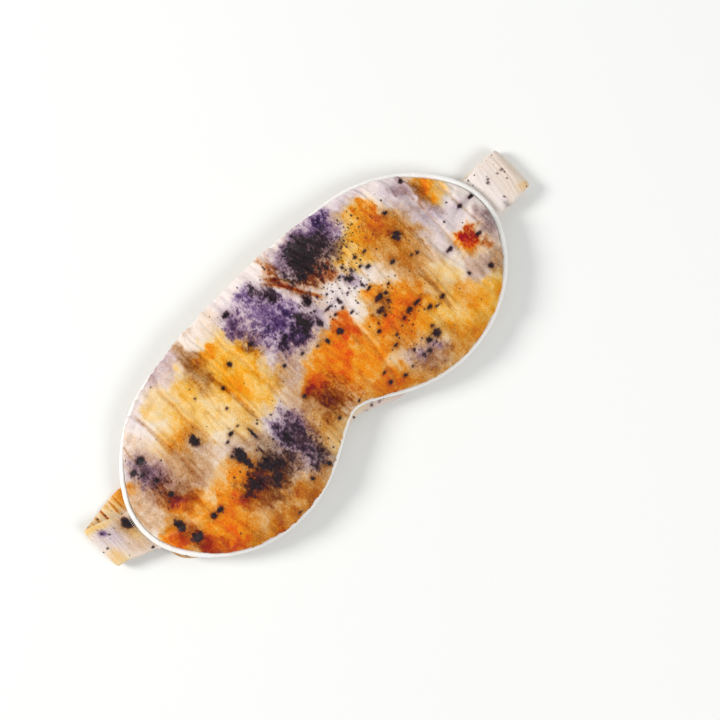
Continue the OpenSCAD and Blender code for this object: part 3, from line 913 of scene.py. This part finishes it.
# Granular clouds of dye that break up into specks, in the same terms
CLOUDS = {
    "violet": [
        (1, 23, 8, 12, 0.95), (2, 10, 9, 4.5, 0.8), (0, 38, 4, 4, 0.55), (-12, 27, 4, 9, 0.7),
        (39, 39, 11, 4, 0.65), (24, 38, 6, 4, 0.4), (45, 35, 5, 7, 0.7), (-28, -22, 6, 12, 0.6),
        (-86, 13, 4.5, 8, 0.5), (39, 12, 3, 4, 0.3), (40, -35, 7, 7, 0.45), (-3, 19, 5, 5, 0.4),
        (9, 22, 4, 6, 0.4), (-10, 33, 4, 4, 0.35), (-20, -20, 4, 8, 0.35)],
    "ink": [
        (9, 12, 4.5, 3.5, 0.9), (-3, 11, 3, 3, 0.5), (3.5, 37, 2, 3, 0.8), (8, 32, 3, 4, 0.6),
        (29, 31.5, 8, 7, 1.45), (38, 32, 6, 6, 0.6), (19, 18, 1.6, 2.5, 0.5), (43, 24, 7, 3, 0.25),
        (-27, -21, 4, 9, 0.6), (-38, -24, 5, 6, 0.35), (-43, -20, 3.5, 3, 0.7), (-47, -28, 4, 3, 0.8),
        (-55, -22, 5, 3.5, 0.9), (-26, -34, 5, 5, 0.5), (40, -7, 5, 2.5, 0.2), (-40, -21, 5, 3, 0.3)],
    "rust": [
        (27, 25, 7, 4, 1.0), (33, 21, 4, 3, 0.6), (17, 39, 3, 3.5, 0.7), (-85, 0, 4, 7, 0.6),
        (-3, -18, 7, 8, 0.32), (45, -17, 8, 3, 0.3), (89, -9, 3, 3, 0.6), (93, -17.5, 2.4, 2, 1.0),
        (64, 22, 5, 5, 0.3)],
    "slate": [(-37, -15, 7, 6, 0.25)],
    "brown": [
        (-42, -22, 6, 5, 0.4), (-4, -19, 6, 8, 0.5), (-81, -1, 6, 6, 0.45), (-48, -31, 8, 5, 0.5)],
    "lilac": [(18, 10, 10, 4, 0.35), (8, 2, 8, 2.5, 0.5)],
    "red": [(88, -10, 3.4, 3.4, 1.4)],
    "orange": [(85, -12, 4, 4, 0.8)],
}

# Thin lines of dye and painted shade. The rust, amber and first brown lines are edges where dye dried
# along a fold. The other brown lines lie on creases, partly dye gathered there and partly painted shade
# of the crease valley. Start, end, half width, strength
DYE_AND_SHADE_LINES = {
    "rust": [((9.5, 36), (24.5, 14), 0.7, 1.0), ((11, 38), (17, 28), 1.0, 0.6)],
    "brown": [
        ((13, 37), (26.5, 17), 0.5, 0.8), ((-36, 30), (-34, -4), 0.4, 0.3),
        ((-72, 34), (-72, 8), 0.5, 0.2), ((61, -6), (60, -28), 0.5, 0.4),
        ((-85, 30), (-87, 2), 0.5, 0.35)],
    "amber": [((23, 5), (23, -4), 0.6, 0.5)],
}

# Crisp dark seeds: place x and y, half width, half height
SEEDS = [
    (-60, 8.7, 1.9, 3.1), (17, 12.5, 0.7, 0.6), (26, 14, 0.6, 0.5), (33, 8, 0.6, 0.5),
    (35, 15.5, 0.9, 0.6), (41, 14, 0.8, 1.1), (22, 16, 0.4, 0.7), (39, 17.5, 0.7, 0.8),
    (45, 12.5, 0.7, 0.6), (27, 5, 0.6, 0.5), (37, 13, 1.1, 0.9), (46, 17, 0.9, 0.7),
    (-50, -9.5, 2.4, 3.0), (-50, -14, 1.4, 3.5), (-53, -7.5, 0.8, 0.8), (-46.5, 0, 1.2, 0.9),
    (-42, 0.3, 0.8, 0.4), (-50, -1.7, 0.8, 0.5), (-39.5, -7, 0.7, 2.6), (-91, -13, 1.7, 2.8),
    (-89, -22, 2.6, 2.2), (-77, -20.5, 1.6, 1.2), (-73, -20.5, 1.6, 1.1), (-84, -0.5, 1.4, 1.2),
    (-83.5, 19.5, 1.8, 1.6), (-89.5, 17.5, 2.0, 1.4), (-87, 14, 1.0, 1.0), (-84, 8, 0.8, 0.8),
    (-25.5, 22, 1.1, 1.1), (-35, 16.5, 0.9, 0.8), (-13, 22, 1.2, 1.0), (-12, 38.5, 1.8, 1.0),
    (-9, 4.8, 0.8, 0.7), (-40, 9, 0.6, 0.6), (-12, -11, 0.9, 0.8), (-8, -28.5, 0.8, 0.6),
    (-42, -14, 0.5, 2.0), (-49, -46, 1.0, 0.4), (-35, -39, 0.9, 0.8), (-25, -39.5, 1.0, 1.0),
    (-47, 21.8, 0.5, 0.5), (15, 7, 1.3, 1.9), (38, 11.5, 1.7, 1.2), (22, 9.2, 2.2, 0.5),
    (28, 8, 0.6, 1.8), (41, 3, 1.0, 0.6), (40, 6, 0.7, 1.2), (19, -1.5, 1.4, 1.4), (12, -0.8, 0.8, 1.2),
    (7.5, 0.8, 0.7, 0.5), (0.5, 3, 1.0, 0.6), (22.5, 5, 0.8, 0.6), (41, -3, 2.4, 1.2),
    (45, -3.5, 0.9, 0.8), (48.5, -1.5, 0.7, 0.5), (38, -7.5, 2.0, 1.2), (43.5, -7, 0.7, 1.0),
    (31, -13.5, 1.0, 0.8), (38, -10.5, 0.7, 0.6), (33.5, -11, 0.6, 0.5), (32, -23, 1.1, 0.8),
    (44, -31.5, 1.2, 1.2), (48.5, -31.5, 1.9, 1.7), (41, -35, 1.2, 1.0), (38, -34.5, 0.7, 0.9),
    (26, -35.5, 1.0, 0.8), (31, -34.7, 0.7, 0.5), (36.5, -30, 0.7, 0.6), (47, -16, 1.7, 1.0),
    (52, -16, 1.9, 0.7), (43, -17, 0.7, 0.6), (54.5, -21.3, 1.4, 0.9), (57, -23.3, 1.2, 0.5),
    (61.5, -22, 1.3, 0.8), (19, -33, 1.0, 0.8), (20, -28, 1.0, 0.6), (3.5, -29, 0.7, 0.5),
    (66, 11, 2.1, 1.9), (69, 21.5, 1.1, 1.0), (56.5, 4, 1.1, 0.8), (64.5, 0.5, 0.6, 0.5),
    (67, -0.7, 0.8, 0.6), (51, 16, 1.1, 0.6), (47.5, 10, 0.9, 0.9), (17.5, 17.5, 1.5, 1.5),
    (84, 27, 0.9, 1.0), (78, -9.5, 1.5, 0.9), (95, 1, 1.3, 0.9), (102, 0.8, 1.9, 0.8),
    (92.5, -13.5, 1.1, 1.0), (86.5, -27.5, 1.1, 1.3), (77, -23, 0.6, 0.8), (49.5, -28, 0.7, 0.7),
    (28.5, 0.8, 0.9, 0.5), (35.5, -20, 0.7, 0.6),
]


# Sprays of fine specks: place x and y, half width, half height, how many
SPRAYS = [
    (-28, -20, 10, 15, 150), (-40, -23, 12, 10, 90), (-55, -24, 10, 8, 40), (30, 13, 18, 9, 190),
    (45, 25, 14, 8, 150), (14, 30, 6, 14, 60), (2, 26, 12, 16, 90), (-12, 28, 6, 12, 40),
    (42, 8, 10, 10, 45), (40, -7, 12, 5, 40), (46, -18, 14, 8, 40), (40, -33, 14, 8, 40),
    (-86, 8, 7, 16, 70), (52, 22, 10, 8, 30), (12, 2, 16, 5, 20), (60, 5, 12, 16, 25),
    (92, 0, 12, 10, 20), (-60, 0, 34, 30, 40), (0, -5, 90, 36, 90), (70, 30, 22, 8, 25),
]


def stain(thick, dye, amount):
    """Adds an amount of dye, which darkens the silk as a log of each channel."""
    thick += amount[:, None] * DEPTHS[dye]


def dyes_in(table):
    """Each row of a table of dyes, with its dye."""
    return [(dye, *row) for dye, rows in table.items() for row in rows]


def spot_reach(x, y, cx, cy, rx, ry):
    """Distance from a spot's centre, 1 at its edge."""
    return np.sqrt(((x - cx) / rx) ** 2 + ((y - cy) / ry) ** 2)


def front_dye_and_shade(x, y):
    """Colour of the dyed silk at points of the mask, with painted shade along its creases, and how
    thickly small specks lie there.
    """
    wx = x + 2.2 * fbm(x / 8, y / 10, 1, 3) + 1.3 * fbm(x / 2.6, y / 3.4, 5, 3)
    wy = y + 2.6 * fbm(x / 8, y / 10, 11, 3) + 1.8 * fbm(x / 2.4, y / 3.8, 15, 3)
    streak = fbm(x / 1.1, y / 13, 21, 3)
    pool = fbm(x / 4.5, y / 6, 25, 5, 0.6)
    mottle = fbm(x / 1.7, y / 2.3, 28, 3, 0.7)
    grain = 0.5 * fbm(x / 1.0, y / 1.9, 31, 3, 0.9) + 0.5 * fbm(x / 1.6, y / 1.1, 35, 3, 0.9)
    ring = smooth(-0.1, 0.6, fbm(x / 12, y / 12, 39, 2))
    thick = np.zeros((len(x), 3))
    for dye, *spot, amount in dyes_in(WASHES):
        r = spot_reach(wx, wy, *spot)
        front = r + 0.26 * pool + 0.10 * mottle
        body = 0.35 * np.exp(-r * r) + 0.65 * smooth(1.55, 0.55, front)
        body = body * (1 + 0.55 * np.exp(-((front - 0.95) / 0.16) ** 2) * ring)
        stain(thick, dye, amount * body * (1 + 0.12 * streak + 0.28 * pool + 0.16 * mottle).clip(0.1))
    for dye, *spot, amount in dyes_in(CLOUDS):
        r = spot_reach(wx, wy, *spot)
        body = np.exp(-0.75 * r * r)
        dots = smooth(0.2, 1.0, 1.1 * body + 0.95 * grain + 0.15 * streak)
        uneven = (1 + 0.35 * pool + 0.25 * mottle).clip(0.15)
        stain(thick, dye, amount * (0.42 * body + 0.62 * dots * smooth(0.03, 0.4, body)) * uneven)
    # Dye lines, and brown lines on the creases that are partly painted shade
    for dye, start, end, width, amount in dyes_in(DYE_AND_SHADE_LINES):
        s, fade = crease_at(x, y, start, end, 0.5)
        stain(thick, dye, amount * fade * np.exp(-(s / width) ** 2) * (1 + 0.6 * mottle).clip(0.2))
    # Painted shade: a thin brown line darkens the bottom of each crease, as much as the crease is deep
    for start, end, width, depth, bow in CREASES:
        s, fade = crease_at(x, y, start, end, bow)
        stain(thick, "brown", 0.6 * depth * fade * np.exp(-(s / 0.5) ** 2))
    # Painted shade: thin brown hairlines that run the way the fine creases do
    lean = x + 3.0 * fbm(x / 34, y / 26, 50, 2) + 0.10 * y
    hairline_shade = smooth(0.16, 0.0, np.abs(noise(lean / 3.4, y / 30, 55)))
    stain(thick, "brown", 0.13 * hairline_shade * smooth(0.0, 0.6, fbm(x / 15, y / 22, 59, 2)))
    for k, (cx, cy, rx, ry) in enumerate(SEEDS):
        near = np.flatnonzero((np.abs(x - cx) < 4 * rx) & (np.abs(y - cy) < 4 * ry))
        sx, sy = x[near], y[near]
        bite = 0.26 * noise(sx / 0.9 + k, sy / 0.9, 41) + 0.14 * noise(sx / 0.4, sy / 0.4 + k, 42)
        r = spot_reach(sx, sy, cx, cy, rx, ry) + bite
        amount = 0.95 * smooth(1.35, 0.55, r) + 0.16 * np.exp(-(r / 1.8) ** 2)
        thick[near] += amount[:, None] * DEPTHS["ink"]
    thick *= (1 + 0.34 * fbm(wx / 3.0, wy / 4.0, 44, 3, 0.7)).clip(0.35)[:, None]
    thick += (0.04 + 0.03 * mottle + 0.02 * streak)[:, None] * np.array([0.3, 0.7, 1.1])
    specks = np.zeros(len(x))
    for cx, cy, rx, ry, count in SPRAYS:
        specks += count / (rx * ry) * np.exp(-0.5 * spot_reach(wx, wy, cx, cy, 0.62 * rx, 0.62 * ry) ** 2)
    return SILK * np.exp(-np.minimum(thick, DARKEST)), specks


# Seeds on the pale back silk
BACK_SPECKS = [
    (-3, -34, 0.7, 0.6), (2, -35, 0.9, 0.6), (6, -34.5, 0.6, 0.7), (10, -35.5, 0.8, 0.5),
    (13, -33, 0.5, 0.6), (-60, 12, 1.4, 2.2), (-48, -20, 1.8, 1.5), (-30, 22, 0.9, 0.8),
    (24, -14, 1.2, 1.6), (38, 18, 2.0, 1.7), (55, -8, 0.9, 0.9), (66, 26, 1.1, 0.8),
    (-74, -14, 1.0, 1.2), (82, 4, 1.3, 1.0), (-18, 2, 0.8, 0.7), (-98, -24, 1.0, 1.2),
]


def back_dye(x, y):
    """Colour of the pale silk at the back, and how thickly small specks lie there."""
    wx = x + 5 * fbm(x / 15, y / 15, 140, 3)
    wy = y + 5 * fbm(x / 15, y / 15, 144, 3)
    thick = np.zeros((len(x), 3))
    stain(thick, "gold", 0.16 * smooth(0.05, 0.8, fbm(wx / 26, wy / 22, 148, 3)))
    stain(thick, "mauve", 0.14 * smooth(0.1, 0.8, fbm(wx / 22, wy / 26, 152, 3)))
    stain(thick, "brown", 0.5 * np.exp(-((wx + 98) / 7) ** 2 - ((wy + 24) / 6) ** 2))
    stain(thick, "tan", 0.12 + 0.05 * fbm(x / 3, y / 5, 156, 3))
    for k, spot in enumerate(BACK_SPECKS):
        r = spot_reach(x, y, *spot) + 0.3 * noise(x / 0.9 + k, y / 0.9, 157)
        stain(thick, "ink", 0.8 * smooth(1.35, 0.55, r) + 0.06 * np.exp(-(r / 2) ** 2))
    return SILK * np.exp(-thick), 0.12 + 0.2 * smooth(0, 0.8, fbm(x / 20, y / 20, 158, 2))


# Dye on each side of the strap: dye, distance from the seam, place across, half length, half width,
# strength
STRAP_SPOTS = {
    -1: [
        ("ink", 2.9, 6.1, 1.6, 2.5, 1.2), ("brown", 3.2, 5.4, 3.6, 4.6, 0.55),
        ("violet", 13, 5.8, 1.3, 1.3, 1.1), ("ink", 1.6, -9.9, 0.8, 0.7, 1.0),
        ("gold", 3, 0.9, 4, 4, 0.35), ("orange", 16, -5, 3, 3, 0.18), ("lilac", 10, 5, 7, 5, 0.2),
        ("lilac", 11, 3, 6, 6, 0.45), ("gold", 16, -9, 4, 3, 0.3), ("tan", 4, -6, 5, 4, 0.6),
        ("mauve", 8, -2, 5, 6, 0.1), ("gold", 14, 10, 8, 2, 0.45), ("orange", 44, 8, 4, 5, 0.7),
        ("gold", 34, 9, 14, 6, 0.25), ("mauve", 27, 8, 3, 3, 0.25), ("violet", 60, 0, 12, 7, 0.5),
        ("gold", 90, 3, 14, 8, 0.7)],
    1: [
        ("tan", 14, 0, 5, 12, 0.12), ("ink", 6.3, 2.4, 0.6, 0.8, 0.8),
        ("ink", 7.5, 3.6, 0.45, 0.5, 0.7), ("ink", 12.3, 2.7, 0.5, 0.6, 0.6),
        ("ink", 15, 2.6, 0.6, 0.6, 0.5), ("ink", 7.8, -6.6, 0.5, 0.5, 0.7),
        ("slate", 6.5, -9.8, 1.4, 2, 0.45), ("orange", 17, -9, 3, 2, 0.2), ("gold", 40, 0, 12, 8, 0.6),
        ("mauve", 66, -4, 10, 5, 0.6), ("orange", 92, 2, 12, 8, 0.35)],
}


def strap_dye_and_shade(rest):
    """Colour of the strap's sleeve at points given along it and across it, with painted shade in the
    valleys of its gathers, and its specks.
    """
    g, w = rest[:, 0], rest[:, 1]
    s, side = HALF_STRAP - np.abs(g), np.sign(g)
    ws = s + 0.8 * fbm(g / 5, w / 5, 160, 3)
    ww = w + 0.8 * fbm(g / 5, w / 5, 164, 3)
    thick = np.zeros((len(g), 3))
    comb = smooth(0.3, 0.8, noise(g / 0.95, w / 40, 172)) * np.exp(-((s - 35) / 5.5) ** 2) * (side < 0)
    stain(thick, "amber", 1.7 * comb * smooth(2, 6, w))
    stain(thick, "tan", 0.04 + 0.02 * (side < 0) + 0.05 * fbm(g / 4, w / 6, 168, 3))
    # Painted shade: amber darkens the valleys between the gathers, most on the left strap from its fold
    # outward
    folds = np.where(rest[:, 2] > 0, pleats(g, w, TOP_PLEATS)[0], pleats(g, w, UNDER_PLEATS)[0])
    strength = np.where(side < 0, 0.12 + 0.75 * smooth(20, 24, s), 0.04)
    strength = strength * (0.35 + 0.65 * smooth(-0.2, 0.4, fbm(g / 6, w / 9, 170, 2)))
    stain(thick, "amber", strength * smooth(0.55, 0.0, folds) ** 1.4)
    for spot_side, spots in STRAP_SPOTS.items():
        for dye, *spot, amount in spots:
            r = spot_reach(ws, ww, *spot)
            body = smooth(1.4, 0.5, r) if dye == "ink" else np.exp(-r * r)
            stain(thick, dye, amount * body * (side == spot_side))
    return SILK * np.exp(-np.minimum(thick, DARKEST)), (0.08 + 0.12 * (side < 0)) * np.ones(len(g))


# --- Materials ---

def add(tree, kind, inputs=(), **settings):
    """A node with its settings, and inputs given as values or as sockets to link from."""
    made = tree.nodes.new(kind)
    for key, value in settings.items():
        setattr(made, key, value)
    for key, value in dict(inputs).items():
        if isinstance(value, bpy.types.NodeSocket):
            tree.links.new(value, made.inputs[key])
        else:
            made.inputs[key].default_value = value
    return made


def calc(tree, operation, *values):
    return add(tree, "ShaderNodeMath", dict(enumerate(values)), operation=operation).outputs[0]


def place(tree, scale):
    """Unbent place on the cloth in millimetres, scaled along each axis."""
    mm = add(tree, "ShaderNodeAttribute", attribute_name="mm").outputs["Vector"]
    return add(tree, "ShaderNodeVectorMath", {0: mm, 1: scale}, operation="MULTIPLY").outputs[0]


def grain(tree, scale, detail=2.0, rough=0.5):
    inputs = {"Vector": place(tree, scale), "Scale": 1.0, "Detail": detail, "Roughness": rough}
    return add(tree, "ShaderNodeTexNoise", inputs).outputs["Fac"]


def mix(tree, amount, low, high):
    """A colour between two colours."""
    return add(tree, "ShaderNodeMix", {0: amount, 6: low, 7: high}, data_type="RGBA").outputs[2]


def spread(tree, value, low, high, to_low=0.0, to_high=1.0):
    """A value mapped from one range to another, and kept inside it."""
    inputs = {0: value, 1: low, 2: high, 3: to_low, 4: to_high}
    return add(tree, "ShaderNodeMapRange", inputs, interpolation_type="SMOOTHSTEP").outputs[0]


def finish_shader(material, colour, height, thickness, values):
    """Sets a material's shader: its colour, its bump of a given thickness in mm, and its fixed values."""
    tree = material.node_tree
    shader = tree.nodes["Principled BSDF"]
    tree.links.new(colour, shader.inputs["Base Color"])
    bump = add(tree, "ShaderNodeBump", {"Height": height, "Strength": 1.0, "Distance": thickness * MM})
    tree.links.new(bump.outputs[0], shader.inputs["Normal"])
    for key, value in values.items():
        shader.inputs[key].default_value = value
    return material


def new_material(name):
    material = bpy.data.materials.new(name)
    material.use_nodes = True
    return material, material.node_tree


INK = (0.028, 0.013, 0.019, 1)


def silk(name, across, weft=1.0):
    """Dyed silk: the painted dye, which carries painted shade in creases and pleats, small specks of ink,
    a slubbed satin weave whose raised threads are painted lighter and low ones darker, and a soft sheen.
    """
    material, tree = new_material(name)
    # The "dye" colour holds the dye, and on the front and the strap also painted shade in creases and
    # pleats
    dye = add(tree, "ShaderNodeAttribute", attribute_name="dye").outputs["Color"]
    density = add(tree, "ShaderNodeAttribute", attribute_name="specks").outputs["Fac"]
    cells = {"Vector": place(tree, (0.85, 0.72, 0.3)), "Scale": 1.0, "Randomness": 1.0}
    cell = add(tree, "ShaderNodeTexVoronoi", cells, feature="F1")
    parts = add(tree, "ShaderNodeSeparateColor", {0: cell.outputs["Color"]}).outputs
    there = calc(tree, "LESS_THAN", parts[0], calc(tree, "MULTIPLY", density, 0.6))
    size = calc(tree, "MULTIPLY_ADD", calc(tree, "POWER", parts[1], 2.4), 0.36, 0.20)
    edge_noise = calc(tree, "MULTIPLY_ADD", grain(tree, (2.6, 2.6, 1.0)), 0.34, -0.17)
    gap = calc(tree, "SUBTRACT", calc(tree, "ADD", cell.outputs["Distance"], edge_noise), size)
    speck = calc(tree, "MULTIPLY", spread(tree, gap, 0.08, -0.10, 0.0, 0.86), there)
    warp = grain(tree, (3.4, 0.22, 1.0) if across else (0.3, 3.4, 1.0), 3.0)
    fill = grain(tree, (0.3, 3.6, 1.0) if across else (3.6, 0.3, 1.0), 3.0)
    threads = calc(tree, "ADD", warp, calc(tree, "MULTIPLY", fill, weft))
    granules = calc(tree, "MULTIPLY_ADD", threads, 0.25, grain(tree, (1.7, 1.2, 1.0), 3.0, 0.65))
    soaked = add(tree, "ShaderNodeGamma",
                 {"Color": dye, "Gamma": spread(tree, granules, 0.50, 0.96, 0.80, 1.36)}).outputs[0]
    # Raised threads lighter and low ones darker, following the bump: partly the slubs' own tone, partly
    # painted shade
    slub_tone_and_shade = add(tree, "ShaderNodeHueSaturation",
               {"Saturation": 1.05, "Value": spread(tree, threads, 0.6, 1.4, 0.94, 1.07),
                "Color": soaked}).outputs[0]
    colour = mix(tree, speck, slub_tone_and_shade, INK)
    return finish_shader(material, colour, threads, 0.09, {
        "Roughness": 0.48, "Specular IOR Level": 0.2, "Sheen Weight": 0.03, "Sheen Roughness": 0.35,
        "Anisotropic": 0.35})


def satin_weave():
    material, tree = new_material("ivory_satin")
    lines = grain(tree, (2.2, 2.2, 0.5), 2.0)
    fine = grain(tree, (5.0, 5.0, 5.0), 2.0)
    soft = grain(tree, (0.12, 0.12, 0.12), 3.0)
    tint = mix(tree, spread(tree, soft, 0.35, 0.68), (0.93, 0.905, 0.86, 1), (0.96, 0.955, 0.94, 1))
    colour = mix(tree, spread(tree, fine, 0.35, 0.7, 0.0, 0.10), tint, (0.84, 0.80, 0.74, 1))
    height = calc(tree, "ADD", lines, calc(tree, "MULTIPLY", fine, 0.5))
    return finish_shader(material, colour, height, 0.10, {
        "Roughness": 0.36, "Specular IOR Level": 0.5, "Sheen Weight": 0.2, "Sheen Roughness": 0.4})


def fluff(name):
    """Polyester wadding: tangled white fibres, with painted shade between them."""
    material, tree = new_material(name)
    fibres = calc(tree, "MULTIPLY", *(grain(tree, scale, 5.0, 0.7)
                                      for scale in ((2.6, 0.7, 1.5), (0.7, 2.6, 1.5))))
    clumps = grain(tree, (0.22, 0.22, 0.22), 3.0)
    tint = mix(tree, spread(tree, clumps, 0.3, 0.7), (0.82, 0.82, 0.80, 1), (0.93, 0.93, 0.92, 1))
    # Painted shade: greyer between the fibres and whitest where they stand highest in the bump
    colour = mix(tree, spread(tree, fibres, 0.15, 0.40), tint, (0.97, 0.97, 0.96, 1))
    return finish_shader(material, colour, fibres, 0.5, {
        "Roughness": 0.95, "Specular IOR Level": 0.1, "Sheen Weight": 0.6, "Sheen Roughness": 0.6})


def plain_weave(name, dark, light, scale, thickness, values):
    """A woven or knitted cloth with crossing threads at so many to the millimetre, darker in the gaps
    between threads by painted shade.
    """
    material, tree = new_material(name)
    waves = []
    for axis, count in zip("XY", scale):
        inputs = {"Vector": place(tree, (1.0, 1.0, 1.0)), "Scale": count / math.pi,
                  "Distortion": 0.6, "Detail": 2.0, "Detail Scale": 2.0}
        wave = add(tree, "ShaderNodeTexWave", inputs, bands_direction=axis, wave_type="BANDS")
        waves.append(wave.outputs["Fac"])
    height = calc(tree, "MULTIPLY", *waves)
    uneven = grain(tree, (0.8, 0.8, 0.8), 3.0)
    # Painted shade: the cloth is darker in the gaps between threads, where the bump is low
    painted_weave_shade = calc(tree, "MULTIPLY", height, spread(tree, uneven, 0.3, 0.7, 0.55, 1.0))
    colour = mix(tree, painted_weave_shade, dark, light)
    return finish_shader(material, colour, height, thickness, values)


MATT = {"Roughness": 0.9, "Specular IOR Level": 0.15, "Sheen Weight": 0.3}
SMOOTH_THREAD = {"Roughness": 0.55, "Sheen Weight": 0.2}

# Dark colour of the gaps between threads, which is painted shade, and light colour of the threads,
# threads along and across, bump in millimetres, shader values
WEAVES = {
    "blackout_cloth": ((0.010, 0.010, 0.012, 1), (0.05, 0.05, 0.055, 1), (3.0, 3.0), 0.12, MATT),
    "cotton_cord": ((0.72, 0.69, 0.62, 1), (0.90, 0.88, 0.82, 1), (1.6, 1.6), 0.3, MATT),
    "elastic": ((0.70, 0.69, 0.67, 1), (0.92, 0.91, 0.89, 1), (1.5, 3.2), 0.2, MATT),
    "thread": ((0.74, 0.69, 0.60, 1), (0.93, 0.89, 0.81, 1), (5.0, 5.0), 0.05, SMOOTH_THREAD),
}


def materials():
    """The material of each slot."""
    made = {"satin": satin_weave(), "wadding": fluff("wadding"), "dyed_silk": silk("dyed_silk", True),
            "pale_silk": silk("pale_silk", True, 0.8), "strap_silk": silk("strap_silk", False, 0.7)}
    for name, values in WEAVES.items():
        made[name] = plain_weave(name, *values)
    return made


def dye_piece(piece, colours, specks):
    """Stores the colour, which is dye with painted shade in the creases and pleats, and the density of
    small specks on a piece's points.
    """
    full = np.ones((len(colours), 4), np.float32)
    full[:, :3] = colours
    layer = piece.data.attributes.new("dye", "FLOAT_COLOR", "POINT")
    layer.data.foreach_set("color", full.ravel())
    layer = piece.data.attributes.new("specks", "FLOAT", "POINT")
    layer.data.foreach_set("value", np.broadcast_to(specks, len(colours)).astype(np.float32))


PATTERN_Y = 0.7  # how far above the mask's own middle the dye pattern's lies


def finish_pieces():
    """Dyes the silk, with painted shade in its creases and pleats, and gives every piece the material of
    its slot.
    """
    made = materials()
    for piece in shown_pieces():
        slot = piece.get("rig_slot")
        if slot not in made or piece.data.materials:
            continue
        piece.data.materials.append(made[slot])
        rest = np.empty(len(piece.data.vertices) * 3, np.float32)
        piece.data.attributes["mm"].data.foreach_get("vector", rest)
        rest = rest.reshape(-1, 3).astype(float)
        if slot == "dyed_silk":
            dye_piece(piece, *front_dye_and_shade(rest[:, 0], rest[:, 1] - PATTERN_Y))
        elif slot == "pale_silk":
            dye_piece(piece, *back_dye(rest[:, 0], rest[:, 1] - PATTERN_Y))
        elif slot == "strap_silk":
            dye_piece(piece, *strap_dye_and_shade(rest))


# --- Camera, lights and floor ---

TURN = math.radians(-44.5)  # the strap runs up to the right across the picture
VIEW_CENTRE = Vector((16.3, -15.9, 0)) * MM
VIEW_WIDTH = 317.5 * MM
LENS = 110.0
SENSOR = 36.0


def camera_and_lights():
    camera = bpy.data.cameras.new("camera")
    camera.lens = LENS
    camera.sensor_width = SENSOR
    holder = link(bpy.data.objects.new("camera", camera))
    distance = VIEW_WIDTH * LENS / SENSOR
    holder.location = VIEW_CENTRE + Vector((0, 0, distance + seam_z * MM))
    holder.rotation_euler = (0, 0, TURN)
    bpy.context.scene.camera = holder

    def area(name, where, size, power, colour):
        light = bpy.data.lights.new(name, "AREA")
        light.shape = "DISK"
        light.size = size
        light.energy = power
        light.color = colour
        lamp = link(bpy.data.objects.new(name, light))
        lamp.location = where
        lamp.rotation_euler = (VIEW_CENTRE - Vector(where)).to_track_quat("-Z", "Y").to_euler()

    area("key", (-1.00, 1.30, 1.15), 0.75, 26.5, (1, 0.985, 0.965))
    area("fill", (0.5, -1.3, 1.6), 1.2, 14.0, (0.97, 0.985, 1))

    world = bpy.data.worlds.new("studio")
    world.use_nodes = True
    back = world.node_tree.nodes["Background"]
    back.inputs["Color"].default_value = (1, 1, 1, 1)
    back.inputs["Strength"].default_value = 0.475
    bpy.context.scene.world = world
    bpy.context.scene.view_settings.view_transform = "Standard"


def floor():
    mesh = bpy.data.meshes.new("floor")
    half = 2.0
    corners = [(-half, -half, 0), (half, -half, 0), (half, half, 0), (-half, half, 0)]
    mesh.from_pydata(corners, [], [(0, 1, 2, 3)])
    table = link(bpy.data.objects.new("floor", mesh))
    table.location.z = -0.1 * MM
    table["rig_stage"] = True
    material, tree = new_material("floor_white")
    shader = tree.nodes["Principled BSDF"]
    shader.inputs["Base Color"].default_value = (0.93, 0.94, 0.92, 1)
    shader.inputs["Roughness"].default_value = 0.7
    shader.inputs["Specular IOR Level"].default_value = 0.2
    mesh.materials.append(material)


# --- Assembly ---

camera_and_lights()
floor()
front = front_silk()
back = back_silk()
front_pad = wadding("front_wadding_layer", 1, FRONT_OVER, "front_wadding")
back_pad = wadding("back_wadding_layer", -1, BACK_OVER, "back_wadding")
lining = interlining()
front_strip = allowance("front_allowance", 1, "dyed_silk", "front_panel")
back_strip = allowance("back_allowance", -1, "pale_silk", "back_panel")
seam_stitching()
end_stitches()
satin, core = piping()
straps = strap()
sewn_ends()
bar_tacks()
finish_pieces()
